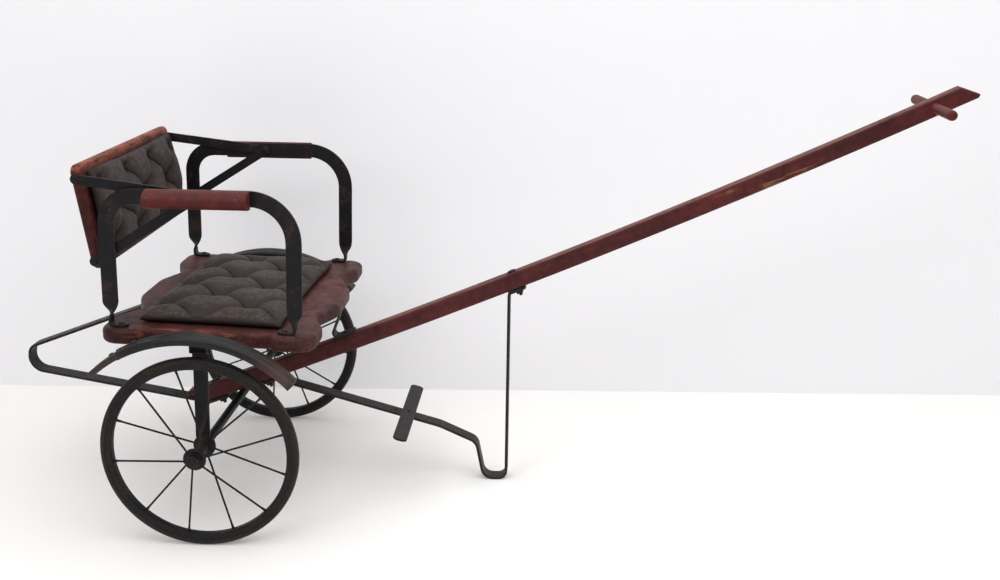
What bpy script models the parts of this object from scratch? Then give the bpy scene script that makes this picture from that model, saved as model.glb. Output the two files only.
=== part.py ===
"""Child's two-wheeled pull cart: wooden seat on an iron axle, drawn by one long wooden pole.

The cart is modelled in metres with +Z up.  +X runs forward towards the tip of the
pole, +Y is the rider's left, and the ground is at z = 0.  Everything that stands on
the axle (uprights, seat, arms, backrest, mudguards) leans forward by SEAT_TILT about
the axle, so it hangs on one tilted empty at the axle's centre.
"""

import math

import bmesh
import bpy
from mathutils import Matrix, Vector

MM = 0.001

# Fits between pieces
FIT_GAP = 0.3 * MM
RUNNING_GAP = 0.8 * MM
CUT_OVERRUN = 4.0 * MM
MERGE_DISTANCE = 0.01 * MM

# Fineness of the round shapes
ARC_STEP = math.radians(15.0)
STRAIGHT_TURN = math.radians(3.0)
SMOOTH_ANGLE = math.radians(35.0)
PLATE_ANGLE = math.radians(60.0)
ROUND_SIDES = 24
HEAD_SIDES = 16
SHANK_SIDES = 12
WIRE_SIDES = 8
HEXAGON_SIDES = 6
HALF_ROUND_STEPS = 8

# Wheels
WHEEL_RADIUS = 152.5 * MM
SEAT_TO_WHEEL = 34.6 * MM
LEFT_WHEEL_TURN = math.radians(11.25)
TYRE_HALF_WIDTH = 8.5 * MM
TYRE_CROWN_RADIUS = 6.0 * MM
TYRE_CROWN_STEPS = 3
RIM_INNER_RADIUS = 134.0 * MM
RIM_LIP_RADIUS = 144.0 * MM
RIM_HALF_WIDTH = 7.5 * MM
RIM_WALL = 1.5 * MM
HUB_HALF_LENGTH = 30.0 * MM
HUB_BARREL_RADIUS = 8.5 * MM
HUB_FLANGE_RADIUS = 17.5 * MM
HUB_FLANGE_THICKNESS = 3.0 * MM
HUB_FLANGE_INSET = 2.5 * MM
SPOKE_RADIUS = 1.45 * MM
SPOKE_SEAT_DEPTH = 2.6 * MM
SPOKE_COUNT = 12
WHEEL_STEPS = 48

# Axle
AXLE_RADIUS = 7.0 * MM
JOURNAL_RADIUS = 5.0 * MM
COLLAR_RADIUS = 10.0 * MM
COLLAR_THICKNESS = 3.0 * MM
AXLE_NUT_WIDTH = 18.0 * MM
AXLE_NUT_THICKNESS = 8.0 * MM
AXLE_NUT_EDGE = 1.0 * MM
AXLE_END_STICKOUT = 2.0 * MM

# Pole
POLE_REACH = 1193.0 * MM
POLE_RISE = 495.0 * MM
POLE_BOW_SHARE = 0.12
POLE_DEPTH = 30.0 * MM
POLE_WIDTH = 24.0 * MM
POLE_TAIL = 88.0 * MM
POLE_EDGE_BEVEL = 3.5 * MM
POLE_TIP_CUT = 32.0 * MM
POLE_TIP_BLUNT = 4.0 * MM
POLE_STATIONS = 12
HANDLE_FROM_TIP = 69.0 * MM
HANDLE_RADIUS = 8.0 * MM
HANDLE_LENGTH = 205.0 * MM
HANDLE_EDGE = 1.5 * MM

# Flat iron under the pole: footrest carrier and parking leg in one strap
STAND_WIDTH = 25.4 * MM
STAND_THICKNESS = 4.8 * MM
STAND_REAR_END = 12.0 * MM
STAND_LEAVES_POLE = 60.0 * MM
STAND_KNEE_PLACE = 339.0 * MM
STAND_KNEE_HEIGHT = 98.0 * MM
STAND_SHOULDER_PLACE = 401.5 * MM
STAND_SHOULDER_HEIGHT = 68.6 * MM
STAND_FOOT_REAR = 413.3 * MM
STAND_FOOT_FRONT = 451.6 * MM
STAND_LEG_TOP = 458.6 * MM
STAND_FRONT_END = 486.0 * MM
STAND_TIGHT_RADIUS = 6.0 * MM
STAND_KNEE_RADIUS = 60.0 * MM
STAND_SHOULDER_RADIUS = 20.0 * MM
STAND_FOOT_REAR_RADIUS = 19.0 * MM
STAND_FOOT_FRONT_RADIUS = 14.0 * MM
FOOTREST_LENGTH = 246.0 * MM
FOOTREST_WIDTH = 23.5 * MM
FOOTREST_THICKNESS = 4.0 * MM
FOOTREST_PLACE = 284.0 * MM
FOOTREST_CORNER = 9.0 * MM

# Rear loop strap, from under the pole's tail round to the seat's rear edge
LOOP_WIDTH = 25.4 * MM
LOOP_THICKNESS = 4.8 * MM
LOOP_FRONT_END = 26.0 * MM
LOOP_LEAVES_POLE = 58.0 * MM
LOOP_LOW_PLACE = 368.2 * MM
LOOP_LOW_HEIGHT = 195.6 * MM
LOOP_HIGH_PLACE = 361.8 * MM
LOOP_HIGH_HEIGHT = 234.2 * MM
LOOP_TIGHT_RADIUS = 2.5 * MM
LOOP_LOW_RADIUS = 26.0 * MM
LOOP_HIGH_RADIUS = 16.2 * MM
LOOP_SEAT_END = 100.0 * MM
LOOP_SEAT_BEND = 149.7 * MM

# Bolts through the pole
BOLT_RADIUS = 3.0 * MM
BOLT_HEAD_RADIUS = 8.0 * MM
BOLT_HEAD_HEIGHT = 3.0 * MM
BOLT_HEAD_EDGE = 1.0 * MM
BOLT_NUT_WIDTH = 11.0 * MM
BOLT_NUT_HEIGHT = 5.0 * MM
BOLT_STICKOUT = 4.0 * MM
STAND_REAR_BOLT = 40.0 * MM
STAND_FRONT_BOLT = 469.0 * MM
LOOP_BOLT = -43.0 * MM

# Uprights from the axle to the seat
SEAT_TILT = math.radians(2.45)
UPRIGHT_WIDTH = 22.0 * MM
UPRIGHT_THICKNESS = 5.0 * MM
UPRIGHT_EYE_RADIUS = 13.0 * MM
UPRIGHT_FLANGE = 34.0 * MM
UPRIGHT_BEND_RADIUS = 5.0 * MM
UPRIGHT_SETBACK = 5.0 * MM

# Seat board, in the tilted frame
SEAT_TOP = 181.2 * MM
SEAT_THICKNESS = 24.5 * MM
SEAT_EDGE_RADIUS = 9.0 * MM
SEAT_FRONT = 177.0 * MM
SEAT_REAR = 155.0 * MM
SEAT_HALF_WIDTH = 223.4 * MM
BULGE_WIDTH_SHARE = 0.2064
BULGE_CORNER = 60.0 * MM
NOTCH_FRONT = 150.0 * MM
NOTCH_REAR = 130.0 * MM
NOTCH_SIDE_SHARE = 0.523
NOTCH_CORNER = 22.0 * MM
LOBE_FRONT = 171.0 * MM
LOBE_REAR = 157.0 * MM
LOBE_INNER_SIDE_SHARE = 0.734
LOBE_INNER_CORNER = 24.0 * MM
LOBE_OUT = 10.0 * MM
LOBE_LENGTH = 62.0 * MM
LOBE_CORNER = 27.0 * MM
SIDE_CORNER = 9.0 * MM

# Front bracket between the seat and the pole
BRACKET_WIDTH = 24.0 * MM
BRACKET_THICKNESS = 3.5 * MM
BRACKET_POLE_FRONT = 200.0 * MM
BRACKET_POLE_BEND = 158.0 * MM
BRACKET_SEAT_BEND = 170.0 * MM
BRACKET_SEAT_REAR = 126.0 * MM
BRACKET_RADIUS = 7.0 * MM

# Arms: flat iron bent on edge, its feet turned flat onto the seat
ARM_INSET = 9.0 * MM
ARM_WIDTH = 24.0 * MM
ARM_THICKNESS = 4.0 * MM
ARM_REAR = 141.0 * MM
ARM_FRONT = 139.0 * MM
ARM_REAR_HEIGHT = 212.4 * MM
ARM_FRONT_HEIGHT = 218.4 * MM
ARM_REAR_RADIUS = 42.0 * MM
ARM_FRONT_RADIUS = 65.0 * MM
ARM_TWIST_LENGTH = 36.0 * MM
ARM_TWIST_STEPS = 8
ARM_FOOT_LENGTH = 26.0 * MM
ARM_FOOT_WIDTH = 16.0 * MM
ARM_FOOT_RADIUS = 4.0 * MM
ARM_FOOT_RISE = 9.0 * MM

# Armrests: half-round wooden strips on the outside of the arms
ARMREST_REAR = 78.0 * MM
ARMREST_FRONT = 76.5 * MM
ARMREST_HEIGHT = 29.0 * MM
ARMREST_DEPTH = 26.0 * MM
ARMREST_DROP = 1.5 * MM
ARMREST_EDGE = 5.0 * MM

# Stays from the arm's rivet to the back panel
RIVET_PLACE = -4.0 * MM
RIVET_RADIUS = 3.0 * MM
RIVET_HEAD_RADIUS = 6.0 * MM
RIVET_HEAD_HEIGHT = 2.5 * MM
RIVET_HEAD_EDGE = 0.8 * MM
STAY_WIDTH = 15.0 * MM
STAY_THICKNESS = 3.0 * MM
STAY_LAYER_GAP = 0.8 * MM

# Back panel, in the tilted frame
BACK_LEAN = math.radians(10.0)
BACK_HEIGHT = 160.0 * MM
BACK_THICKNESS = 15.0 * MM
BACK_CORNER = 14.0 * MM
BACK_EDGE = 4.0 * MM
BACK_BOTTOM_PLACE = -154.5 * MM
BACK_BOTTOM_HEIGHT = 266.0 * MM
UPPER_STAY_INSET = 20.0 * MM
LOWER_STAY_INSET = 14.0 * MM

# Cushions
SEAT_PAD_LENGTH = 226.0 * MM
SEAT_PAD_SIDE_GAP = 23.0 * MM
SEAT_PAD_HEIGHT = 28.0 * MM
SEAT_PAD_SHIFT = 8.0 * MM
SEAT_PAD_OFFSIDE = 11.0 * MM
SEAT_PAD_TURN = math.radians(-1.5)
BACK_PAD_INSET = 13.6 * MM
BACK_PAD_HEIGHT = 142.0 * MM
BACK_PAD_DEPTH = 26.0 * MM
PAD_EDGE = 11.0 * MM

# Mudguards, turned about a centre a little behind and below the axle
GUARD_CENTRE_PLACE = -8.6 * MM
GUARD_CENTRE_HEIGHT = -33.0 * MM
GUARD_CROWN_RADIUS = 220.0 * MM
GUARD_HALF_WIDTH = 17.0 * MM
GUARD_SKIRT = 11.0 * MM
GUARD_SHEET = 1.6 * MM
GUARD_RIB_HEIGHT = 1.5 * MM
GUARD_RIB_TOP_HALF_WIDTH = 1.8 * MM
GUARD_RIB_FOOT_HALF_WIDTH = 5.2 * MM
GUARD_FRONT_ANGLE = math.radians(44.5)
GUARD_REAR_ANGLE = math.radians(120.0)
GUARD_STEPS = 20
GUARD_SHOULDER_STEPS = 2
GUARD_IRON_FRONT_ANGLE = math.radians(106.0)
GUARD_IRON_REAR_ANGLE = math.radians(134.5)
GUARD_IRON_HALF_WIDTH = 13.0 * MM
GUARD_IRON_SKIRT = 9.0 * MM
GUARD_IRON_SHEET = 2.0 * MM
GUARD_IRON_STEPS = 8
GUARD_BRACKET_WIDTH = 26.0 * MM
GUARD_BRACKET_THICKNESS = 2.5 * MM
GUARD_BRACKET_FOOT = 26.0 * MM
GUARD_BRACKET_DROP = 6.2 * MM

STRAP_EDGE = 0.5 * MM

# Places that follow from the sizes above
HALF_TRACK = SEAT_HALF_WIDTH + SEAT_TO_WHEEL
HUB_INNER = HALF_TRACK - HUB_HALF_LENGTH
COLLAR_INNER = HUB_INNER - RUNNING_GAP - COLLAR_THICKNESS
UPRIGHT_Y = COLLAR_INNER - FIT_GAP - UPRIGHT_THICKNESS / 2
HANDLE_PLACE = POLE_REACH - HANDLE_FROM_TIP
POLE_AXLE_SLOPE = math.atan(POLE_RISE / POLE_REACH * (1 - POLE_BOW_SHARE))
POLE_BASE = WHEEL_RADIUS + (AXLE_RADIUS + FIT_GAP) / math.cos(POLE_AXLE_SLOPE) + POLE_DEPTH / 2
SEAT_UNDERSIDE = SEAT_TOP - SEAT_THICKNESS
ARM_Y = SEAT_HALF_WIDTH - ARM_INSET
ARM_INNER = ARM_Y - ARM_THICKNESS / 2
UPPER_STAY_Y = ARM_INNER - FIT_GAP - STAY_THICKNESS / 2
LOWER_STAY_Y = UPPER_STAY_Y - STAY_THICKNESS - STAY_LAYER_GAP
BACK_HALF_WIDTH = LOWER_STAY_Y - STAY_THICKNESS / 2 - FIT_GAP
QUARTER_TURN = math.radians(90.0)

SIDES = (("right", -1), ("left", 1))

WOOD = ("painted_wood", (0.24, 0.055, 0.045), 0.55, 0.0)
IRON = ("black_iron", (0.035, 0.032, 0.03), 0.5, 0.8)
GUARD_PAINT = ("guard_sheet", (0.07, 0.075, 0.07), 0.45, 0.7)
RUBBER = ("tyre_rubber", (0.03, 0.026, 0.023), 0.8, 0.0)
HIDE = ("leathercloth", (0.08, 0.068, 0.063), 0.6, 0.0)


def clear_scene():
    """Remove whatever the scene holds."""
    for item in list(bpy.data.objects):
        bpy.data.objects.remove(item, do_unlink=True)


def make_collection(name):
    """Return a new collection linked to the scene."""
    collection = bpy.data.collections.new(name)
    bpy.context.scene.collection.children.link(collection)
    return collection


def make_material(look):
    """Return a Principled material for a (name, colour, roughness, metallic) look."""
    name, colour, roughness, metallic = look
    material = bpy.data.materials.get(name)
    if material is None:
        material = bpy.data.materials.new(name)
        material.use_nodes = True
        shader = material.node_tree.nodes["Principled BSDF"]
        shader.inputs["Base Color"].default_value = (*colour, 1.0)
        shader.inputs["Roughness"].default_value = roughness
        shader.inputs["Metallic"].default_value = metallic
    return material


def place(name, data, look, collection, parent, location=(0, 0, 0), rotation=(0, 0, 0)):
    """Make an object of the data, coloured, placed and parented."""
    item = bpy.data.objects.new(name, data)
    item.location = location
    item.rotation_euler = rotation
    item.parent = parent
    if look is not None:
        data.materials.clear()
        data.materials.append(make_material(look))
    collection.objects.link(item)
    return item


def smooth(mesh):
    """Shade a round piece smooth and keep its real edges sharp."""
    mesh.shade_smooth()
    mesh.set_sharp_from_angle(angle=SMOOTH_ANGLE)


def baked(item):
    """Turn an object with modifiers, or a curve, into a mesh with welded seams."""
    graph = bpy.context.evaluated_depsgraph_get()
    mesh = bpy.data.meshes.new_from_object(item.evaluated_get(graph))
    work = bmesh.new()
    work.from_mesh(mesh)
    bmesh.ops.remove_doubles(work, verts=work.verts, dist=MERGE_DISTANCE)
    bmesh.ops.recalc_face_normals(work, faces=work.faces)
    work.to_mesh(mesh)
    work.free()
    bpy.data.objects.remove(item, do_unlink=True)
    return mesh


def add_bevel(item, width, segments=1, angle=SMOOTH_ANGLE):
    """Round the edges of an object that are sharper than the angle."""
    bevel = item.modifiers.new("rounded edges", "BEVEL")
    bevel.width = width
    bevel.segments = segments
    bevel.limit_method = "ANGLE"
    bevel.angle_limit = angle


def add_boolean(item, other, operation):
    """Cut another mesh object out of an object, or join it on."""
    step = item.modifiers.new(operation.lower(), "BOOLEAN")
    step.operation = operation
    step.object = other
    step.solver = "EXACT"


def hide_as_tool(item):
    """Mark an object as a cutter, so that it isn't a piece of the cart."""
    item.hide_render = True
    item.display_type = "WIRE"
    return item


def rounded_path(corners, radii):
    """Return the points of a bent path whose inner corners are arcs of the given radii."""
    path = [Vector(corners[0])]
    for index in range(1, len(corners) - 1):
        before, corner, after = (Vector(corners[index + step]) for step in (-1, 0, 1))
        arrive = (corner - before).normalized()
        leave = (after - corner).normalized()
        turn = arrive.angle_signed(leave)
        radius = radii[index - 1]
        if abs(turn) < STRAIGHT_TURN:
            path.append(corner)
            continue
        reach = radius * math.tan(abs(turn) / 2)
        start = corner - arrive * reach
        side = math.copysign(1, turn)
        centre = start + Vector((arrive.y, -arrive.x)) * radius * side
        steps = max(2, math.ceil(abs(turn) / ARC_STEP))
        for step in range(steps + 1):
            spin = Matrix.Rotation(-turn * step / steps, 2)
            path.append(centre + spin @ (start - centre))
    path.append(Vector(corners[-1]))
    return path


def ribbon_mesh(name, path, width, across):
    """Return an open ribbon: a flat path in (along, up) drawn out across its plane."""
    work = bmesh.new()
    half = Vector(across) * width / 2
    along = Vector((0, 1, 0)) if across == (1, 0, 0) else Vector((1, 0, 0))
    points = [work.verts.new(along * p.x + Vector((0, 0, p.y)) - half) for p in path]
    edges = [work.edges.new(pair) for pair in zip(points, points[1:])]
    grown = bmesh.ops.extrude_edge_only(work, edges=edges)
    moved = [part for part in grown["geom"] if isinstance(part, bmesh.types.BMVert)]
    bmesh.ops.translate(work, verts=moved, vec=half * 2)
    mesh = bpy.data.meshes.new(name)
    work.to_mesh(mesh)
    work.free()
    return mesh


def add_strap(name, path, width, thickness, look, collection, parent, across=(0, 1, 0),
              location=(0, 0, 0)):
    """Make a bent flat strap whose middle surface follows the path."""
    mesh = ribbon_mesh(name, path, width, across)
    strap = place(name, mesh, look, collection, parent, location)
    shell = strap.modifiers.new("thickness", "SOLIDIFY")
    shell.thickness = thickness
    shell.offset = 0
    shell.use_even_offset = True
    return strap


def outline_mesh(name, points, thickness):
    """Return a plate from a closed outline in XY, thick along Z about z = 0."""
    curve = bpy.data.curves.new(name, "CURVE")
    curve.dimensions = "2D"
    curve.fill_mode = "BOTH"
    curve.extrude = thickness / 2
    spline = curve.splines.new("POLY")
    spline.points.add(len(points) - 1)
    for slot, point in zip(spline.points, points):
        slot.co = (point[0], point[1], 0, 1)
    spline.use_cyclic_u = True
    item = bpy.data.objects.new(name, curve)
    bpy.context.scene.collection.objects.link(item)
    return baked(item)


def turn_mesh(mesh, matrix):
    """Turn or move a mesh in its own data."""
    mesh.transform(matrix)
    return mesh


def upright_plate(name, points, thickness):
    """Return a plate from an outline in XZ, thick along Y about y = 0."""
    mesh = outline_mesh(name, points, thickness)
    return turn_mesh(mesh, Matrix.Rotation(QUARTER_TURN, 4, "X"))


def turned_mesh(name, profile, steps, closed, start=0.0, sweep=2 * math.pi):
    """Return a mesh turned about Z from a profile of (radius, height) points."""
    mesh = bpy.data.meshes.new(name)
    work = bmesh.new()
    spin = Matrix.Rotation(start, 4, "Z")
    points = [work.verts.new(spin @ Vector((r, 0, z))) for r, z in profile]
    pairs = list(zip(points, points[1:]))
    if closed:
        pairs.append((points[-1], points[0]))
    for pair in pairs:
        work.edges.new(pair)
    work.to_mesh(mesh)
    work.free()
    item = bpy.data.objects.new(name, mesh)
    bpy.context.scene.collection.objects.link(item)
    screw = item.modifiers.new("turned", "SCREW")
    screw.angle = sweep
    screw.steps = steps
    screw.render_steps = steps
    screw.use_merge_vertices = sweep >= 2 * math.pi
    screw.merge_threshold = MERGE_DISTANCE
    return baked(item)


def rod_mesh(name, radius, length, sides, edge=0):
    """Return a rod along Z about its middle, its rims cut back by the edge."""
    mesh = bpy.data.meshes.new(name)
    work = bmesh.new()
    bmesh.ops.create_cone(work, cap_ends=True, segments=sides, radius1=radius,
                          radius2=radius, depth=length)
    if edge:
        rims = [e for e in work.edges if abs(e.verts[0].co.z - e.verts[1].co.z) < MERGE_DISTANCE]
        bmesh.ops.bevel(work, geom=rims, offset=edge, segments=1, profile=0.5,
                        affect="EDGES")
    work.to_mesh(mesh)
    work.free()
    return mesh


def box_mesh(name, size):
    """Return a box about the origin."""
    mesh = bpy.data.meshes.new(name)
    work = bmesh.new()
    bmesh.ops.create_cube(work, size=1.0)
    bmesh.ops.scale(work, vec=size, verts=work.verts)
    work.to_mesh(mesh)
    work.free()
    return mesh


def union_mesh(name, meshes, cuts=()):
    """Return the first mesh joined with the others and cut by the cutters."""
    stock = bpy.data.objects.new(name, meshes[0])
    bpy.context.scene.collection.objects.link(stock)
    helpers = []
    for operation, group in (("UNION", meshes[1:]), ("DIFFERENCE", cuts)):
        for mesh in group:
            helper = bpy.data.objects.new(name + " helper", mesh)
            bpy.context.scene.collection.objects.link(helper)
            add_boolean(stock, helper, operation)
            helpers.append(helper)
    result = baked(stock)
    for helper in helpers:
        bpy.data.objects.remove(helper, do_unlink=True)
    return result


def pole_height(x):
    """Height of the pole's centre line, which bows gently upwards to the tip."""
    share = x / POLE_REACH
    return POLE_BASE + POLE_RISE * ((1 - POLE_BOW_SHARE) * share + POLE_BOW_SHARE * share ** 2)


def pole_slope(x):
    """Angle of the pole's centre line above the ground at a place along it."""
    share = x / POLE_REACH
    rise = POLE_RISE / POLE_REACH
    return math.atan(rise * ((1 - POLE_BOW_SHARE) + 2 * POLE_BOW_SHARE * share))


def pole_underside(x, away=0.0):
    """Point on the pole's lower face at x, moved off it by a distance."""
    slope = pole_slope(x)
    return Vector((x + math.sin(slope) * away, pole_height(x) - POLE_DEPTH / 2 - math.cos(slope) * away))


def pole_top(x, away=0.0):
    """Point on the pole's upper face at x, moved off it by a distance."""
    slope = pole_slope(x)
    return Vector((x - math.sin(slope) * away, pole_height(x) + POLE_DEPTH / 2 + math.cos(slope) * away))


def loop_rise_height(x):
    """Height of the rear loop's upper face where it rises behind the pole's underside."""
    start = pole_underside(-LOOP_LEAVES_POLE, FIT_GAP + LOOP_THICKNESS / 2)
    run = Vector((-LOOP_LOW_PLACE, LOOP_LOW_HEIGHT)) - start
    middle = start.y + run.y * (x - start.x) / run.x
    return middle + (LOOP_THICKNESS / 2 + FIT_GAP) * run.length / abs(run.x)


def pole_outline():
    """Side outline of the pole: rounded tail cut up to the loop, bowed faces, slanting tip."""
    half = POLE_DEPTH / 2
    tail = -POLE_TAIL
    radius = (pole_height(tail) + half - loop_rise_height(tail) - FIT_GAP) / 2
    centre = Vector((tail, loop_rise_height(tail) + FIT_GAP + radius))
    top = []
    for step in range(1, POLE_STATIONS + 1):
        x = centre.x + (POLE_REACH - POLE_TIP_CUT - centre.x) * step / POLE_STATIONS
        top.append((x, pole_height(x) + half))
    tip = [(POLE_REACH, pole_height(POLE_REACH) - half + POLE_TIP_BLUNT)]
    bottom = []
    front = POLE_REACH - POLE_TIP_BLUNT
    bend = LOOP_THICKNESS / 2 - LOOP_LEAVES_POLE
    for step in range(POLE_STATIONS + 1):
        x = front + (bend - front) * step / POLE_STATIONS
        bottom.append((x, pole_height(x) - half))
    arc = []
    for step in range(HALF_ROUND_STEPS + 1):
        angle = -QUARTER_TURN - math.pi * step / HALF_ROUND_STEPS
        arc.append((centre.x + math.cos(angle) * radius, centre.y + math.sin(angle) * radius))
    return top + tip + bottom + arc


def make_bolt(name, x, lower_gap, collection, parent):
    """Bolt through the pole at x, its nut under the strap that the pole carries."""
    slope = pole_slope(x)
    head_seat = POLE_DEPTH / 2 * math.cos(slope) + FIT_GAP
    nut_seat = POLE_DEPTH / 2 * math.cos(slope) + lower_gap + FIT_GAP
    low = nut_seat + BOLT_NUT_HEIGHT + BOLT_STICKOUT
    shank = rod_mesh(name, BOLT_RADIUS, head_seat + low + BOLT_HEAD_HEIGHT / 2, SHANK_SIDES)
    shank = turn_mesh(shank, Matrix.Translation((0, 0, (head_seat + BOLT_HEAD_HEIGHT / 2 - low) / 2)))
    head = rod_mesh(name, BOLT_HEAD_RADIUS, BOLT_HEAD_HEIGHT, HEAD_SIDES, BOLT_HEAD_EDGE)
    head = turn_mesh(head, Matrix.Translation((0, 0, head_seat + BOLT_HEAD_HEIGHT / 2)))
    nut = box_mesh(name, (BOLT_NUT_WIDTH, BOLT_NUT_WIDTH, BOLT_NUT_HEIGHT))
    nut = turn_mesh(nut, Matrix.Translation((0, 0, -nut_seat - BOLT_NUT_HEIGHT / 2)))
    mesh = union_mesh(name, [shank, head, nut])
    return place(name, mesh, IRON, collection, parent, (x, 0, pole_height(x)), (0, -slope, 0))


def bolt_cutter(name, x, tools, parent):
    """Clearance hole for a bolt through the pole and what is bolted to it."""
    reach = 2 * (POLE_DEPTH + STAND_THICKNESS + CUT_OVERRUN)
    mesh = rod_mesh(name, BOLT_RADIUS + FIT_GAP, reach, SHANK_SIDES)
    cutter = place(name, mesh, None, tools, parent, (x, 0, pole_height(x)), (0, -pole_slope(x), 0))
    return hide_as_tool(cutter)


def make_pole(collection, tools, parent, bolt_cutters):
    """Wooden pole with a hole for the handle pin and one for each bolt."""
    mesh = upright_plate("pole", pole_outline(), POLE_WIDTH)
    pole = place("pole", mesh, WOOD, collection, parent)
    add_bevel(pole, POLE_EDGE_BEVEL)
    bore = rod_mesh("handle bore", HANDLE_RADIUS + FIT_GAP, POLE_WIDTH + CUT_OVERRUN, ROUND_SIDES)
    bore = turn_mesh(bore, Matrix.Rotation(QUARTER_TURN, 4, "X"))
    cutter = place("handle_bore", bore, None, tools, parent, (HANDLE_PLACE, 0, pole_height(HANDLE_PLACE)))
    add_boolean(pole, hide_as_tool(cutter), "DIFFERENCE")
    for item in bolt_cutters:
        add_boolean(pole, item, "DIFFERENCE")
    return pole


def make_handle(collection, parent):
    """Round wooden pin through the pole's tip, the handle that the cart is drawn by."""
    mesh = rod_mesh("handle_pin", HANDLE_RADIUS, HANDLE_LENGTH, ROUND_SIDES, HANDLE_EDGE)
    mesh = turn_mesh(mesh, Matrix.Rotation(QUARTER_TURN, 4, "X"))
    smooth(mesh)
    place("handle_pin", mesh, WOOD, collection, parent, (HANDLE_PLACE, 0, pole_height(HANDLE_PLACE)))


def stand_path():
    """Middle line of the strap: along the pole, past the footrest, round the foot and up."""
    seat = FIT_GAP + STAND_THICKNESS / 2
    corners = [
        pole_underside(STAND_REAR_END, seat),
        pole_underside(STAND_LEAVES_POLE, seat),
        (STAND_KNEE_PLACE, STAND_KNEE_HEIGHT),
        (STAND_SHOULDER_PLACE, STAND_SHOULDER_HEIGHT),
        (STAND_FOOT_REAR, STAND_THICKNESS / 2),
        (STAND_FOOT_FRONT, STAND_THICKNESS / 2),
        pole_underside(STAND_LEG_TOP, seat),
        pole_underside(STAND_FRONT_END, seat),
    ]
    radii = [STAND_TIGHT_RADIUS, STAND_KNEE_RADIUS, STAND_SHOULDER_RADIUS,
             STAND_FOOT_REAR_RADIUS, STAND_FOOT_FRONT_RADIUS, STAND_TIGHT_RADIUS]
    return rounded_path(corners, radii)


def make_stand(collection, parent, bolt_cutters):
    """Flat iron that carries the footrest and forms the parking leg."""
    strap = add_strap("stand_strap", stand_path(), STAND_WIDTH, STAND_THICKNESS, IRON,
                      collection, parent)
    for item in bolt_cutters:
        add_boolean(strap, item, "DIFFERENCE")
    return strap


def make_footrest(collection, parent):
    """Flat cross bar that lies on the strap in front of the seat."""
    start = pole_underside(STAND_LEAVES_POLE, FIT_GAP + STAND_THICKNESS / 2)
    knee = Vector((STAND_KNEE_PLACE, STAND_KNEE_HEIGHT))
    run = (knee - start).normalized()
    lift = Vector((-run.y, run.x)) * (STAND_THICKNESS / 2 + FIT_GAP + FOOTREST_THICKNESS / 2)
    spot = start + run * (FOOTREST_PLACE - start.x) / run.x + lift
    half_width, half_length = FOOTREST_WIDTH / 2, FOOTREST_LENGTH / 2
    corners = [(half_width, 0), (half_width, half_length), (-half_width, half_length),
               (-half_width, -half_length), (half_width, -half_length), (half_width, 0)]
    points = rounded_path(corners, [FOOTREST_CORNER] * 4)[:-1]
    mesh = outline_mesh("footrest_bar", points, FOOTREST_THICKNESS)
    slope = math.atan2(run.y, run.x)
    bar = place("footrest_bar", mesh, IRON, collection, parent, (spot.x, 0, spot.y), (0, -slope, 0))
    add_bevel(bar, STRAP_EDGE, 1, PLATE_ANGLE)


def tilted(x, height):
    """World (x, z) of a point given in the frame that leans about the axle."""
    return Vector((x * math.cos(SEAT_TILT) + height * math.sin(SEAT_TILT),
                   WHEEL_RADIUS - x * math.sin(SEAT_TILT) + height * math.cos(SEAT_TILT)))


def make_rear_loop(collection, parent, bolt_cutters):
    """Strap from under the pole's tail, round behind the cart, to under the seat's rear."""
    under_pole = FIT_GAP + LOOP_THICKNESS / 2
    under_seat = SEAT_UNDERSIDE - FIT_GAP - LOOP_THICKNESS / 2
    corners = [
        pole_underside(-LOOP_FRONT_END, under_pole),
        pole_underside(-LOOP_LEAVES_POLE, under_pole),
        (-LOOP_LOW_PLACE, LOOP_LOW_HEIGHT),
        (-LOOP_HIGH_PLACE, LOOP_HIGH_HEIGHT),
        tilted(-LOOP_SEAT_BEND, under_seat),
        tilted(-LOOP_SEAT_END, under_seat),
    ]
    radii = [LOOP_TIGHT_RADIUS, LOOP_LOW_RADIUS, LOOP_HIGH_RADIUS, STAND_SHOULDER_RADIUS]
    strap = add_strap("rear_loop", rounded_path(corners, radii), LOOP_WIDTH, LOOP_THICKNESS,
                      IRON, collection, parent)
    for item in bolt_cutters:
        add_boolean(strap, item, "DIFFERENCE")


def make_seat_bracket(collection, parent):
    """Bent strap that stands on the pole and carries the seat's front."""
    on_pole = FIT_GAP + BRACKET_THICKNESS / 2
    under_seat = SEAT_UNDERSIDE - FIT_GAP - BRACKET_THICKNESS / 2
    corners = [
        pole_top(BRACKET_POLE_FRONT, on_pole),
        pole_top(BRACKET_POLE_BEND, on_pole),
        tilted(BRACKET_SEAT_BEND, under_seat),
        tilted(BRACKET_SEAT_REAR, under_seat),
    ]
    path = rounded_path(corners, [BRACKET_RADIUS, BRACKET_RADIUS])
    add_strap("seat_bracket", path, BRACKET_WIDTH, BRACKET_THICKNESS, IRON, collection, parent)


def make_axle(collection, parent):
    """Turned iron axle with a collar inside each wheel and a threaded end outside it."""
    end = HALF_TRACK + HUB_HALF_LENGTH + RUNNING_GAP + AXLE_NUT_THICKNESS + AXLE_END_STICKOUT
    side = [
        (0, end),
        (JOURNAL_RADIUS, end),
        (JOURNAL_RADIUS, COLLAR_INNER + COLLAR_THICKNESS),
        (COLLAR_RADIUS, COLLAR_INNER + COLLAR_THICKNESS),
        (COLLAR_RADIUS, COLLAR_INNER),
        (AXLE_RADIUS, COLLAR_INNER),
    ]
    profile = side + [(r, -z) for r, z in reversed(side)]
    mesh = turned_mesh("axle", profile, ROUND_SIDES, False)
    mesh = turn_mesh(mesh, Matrix.Rotation(QUARTER_TURN, 4, "X"))
    smooth(mesh)
    place("axle", mesh, IRON, collection, parent, (0, 0, WHEEL_RADIUS))


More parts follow.
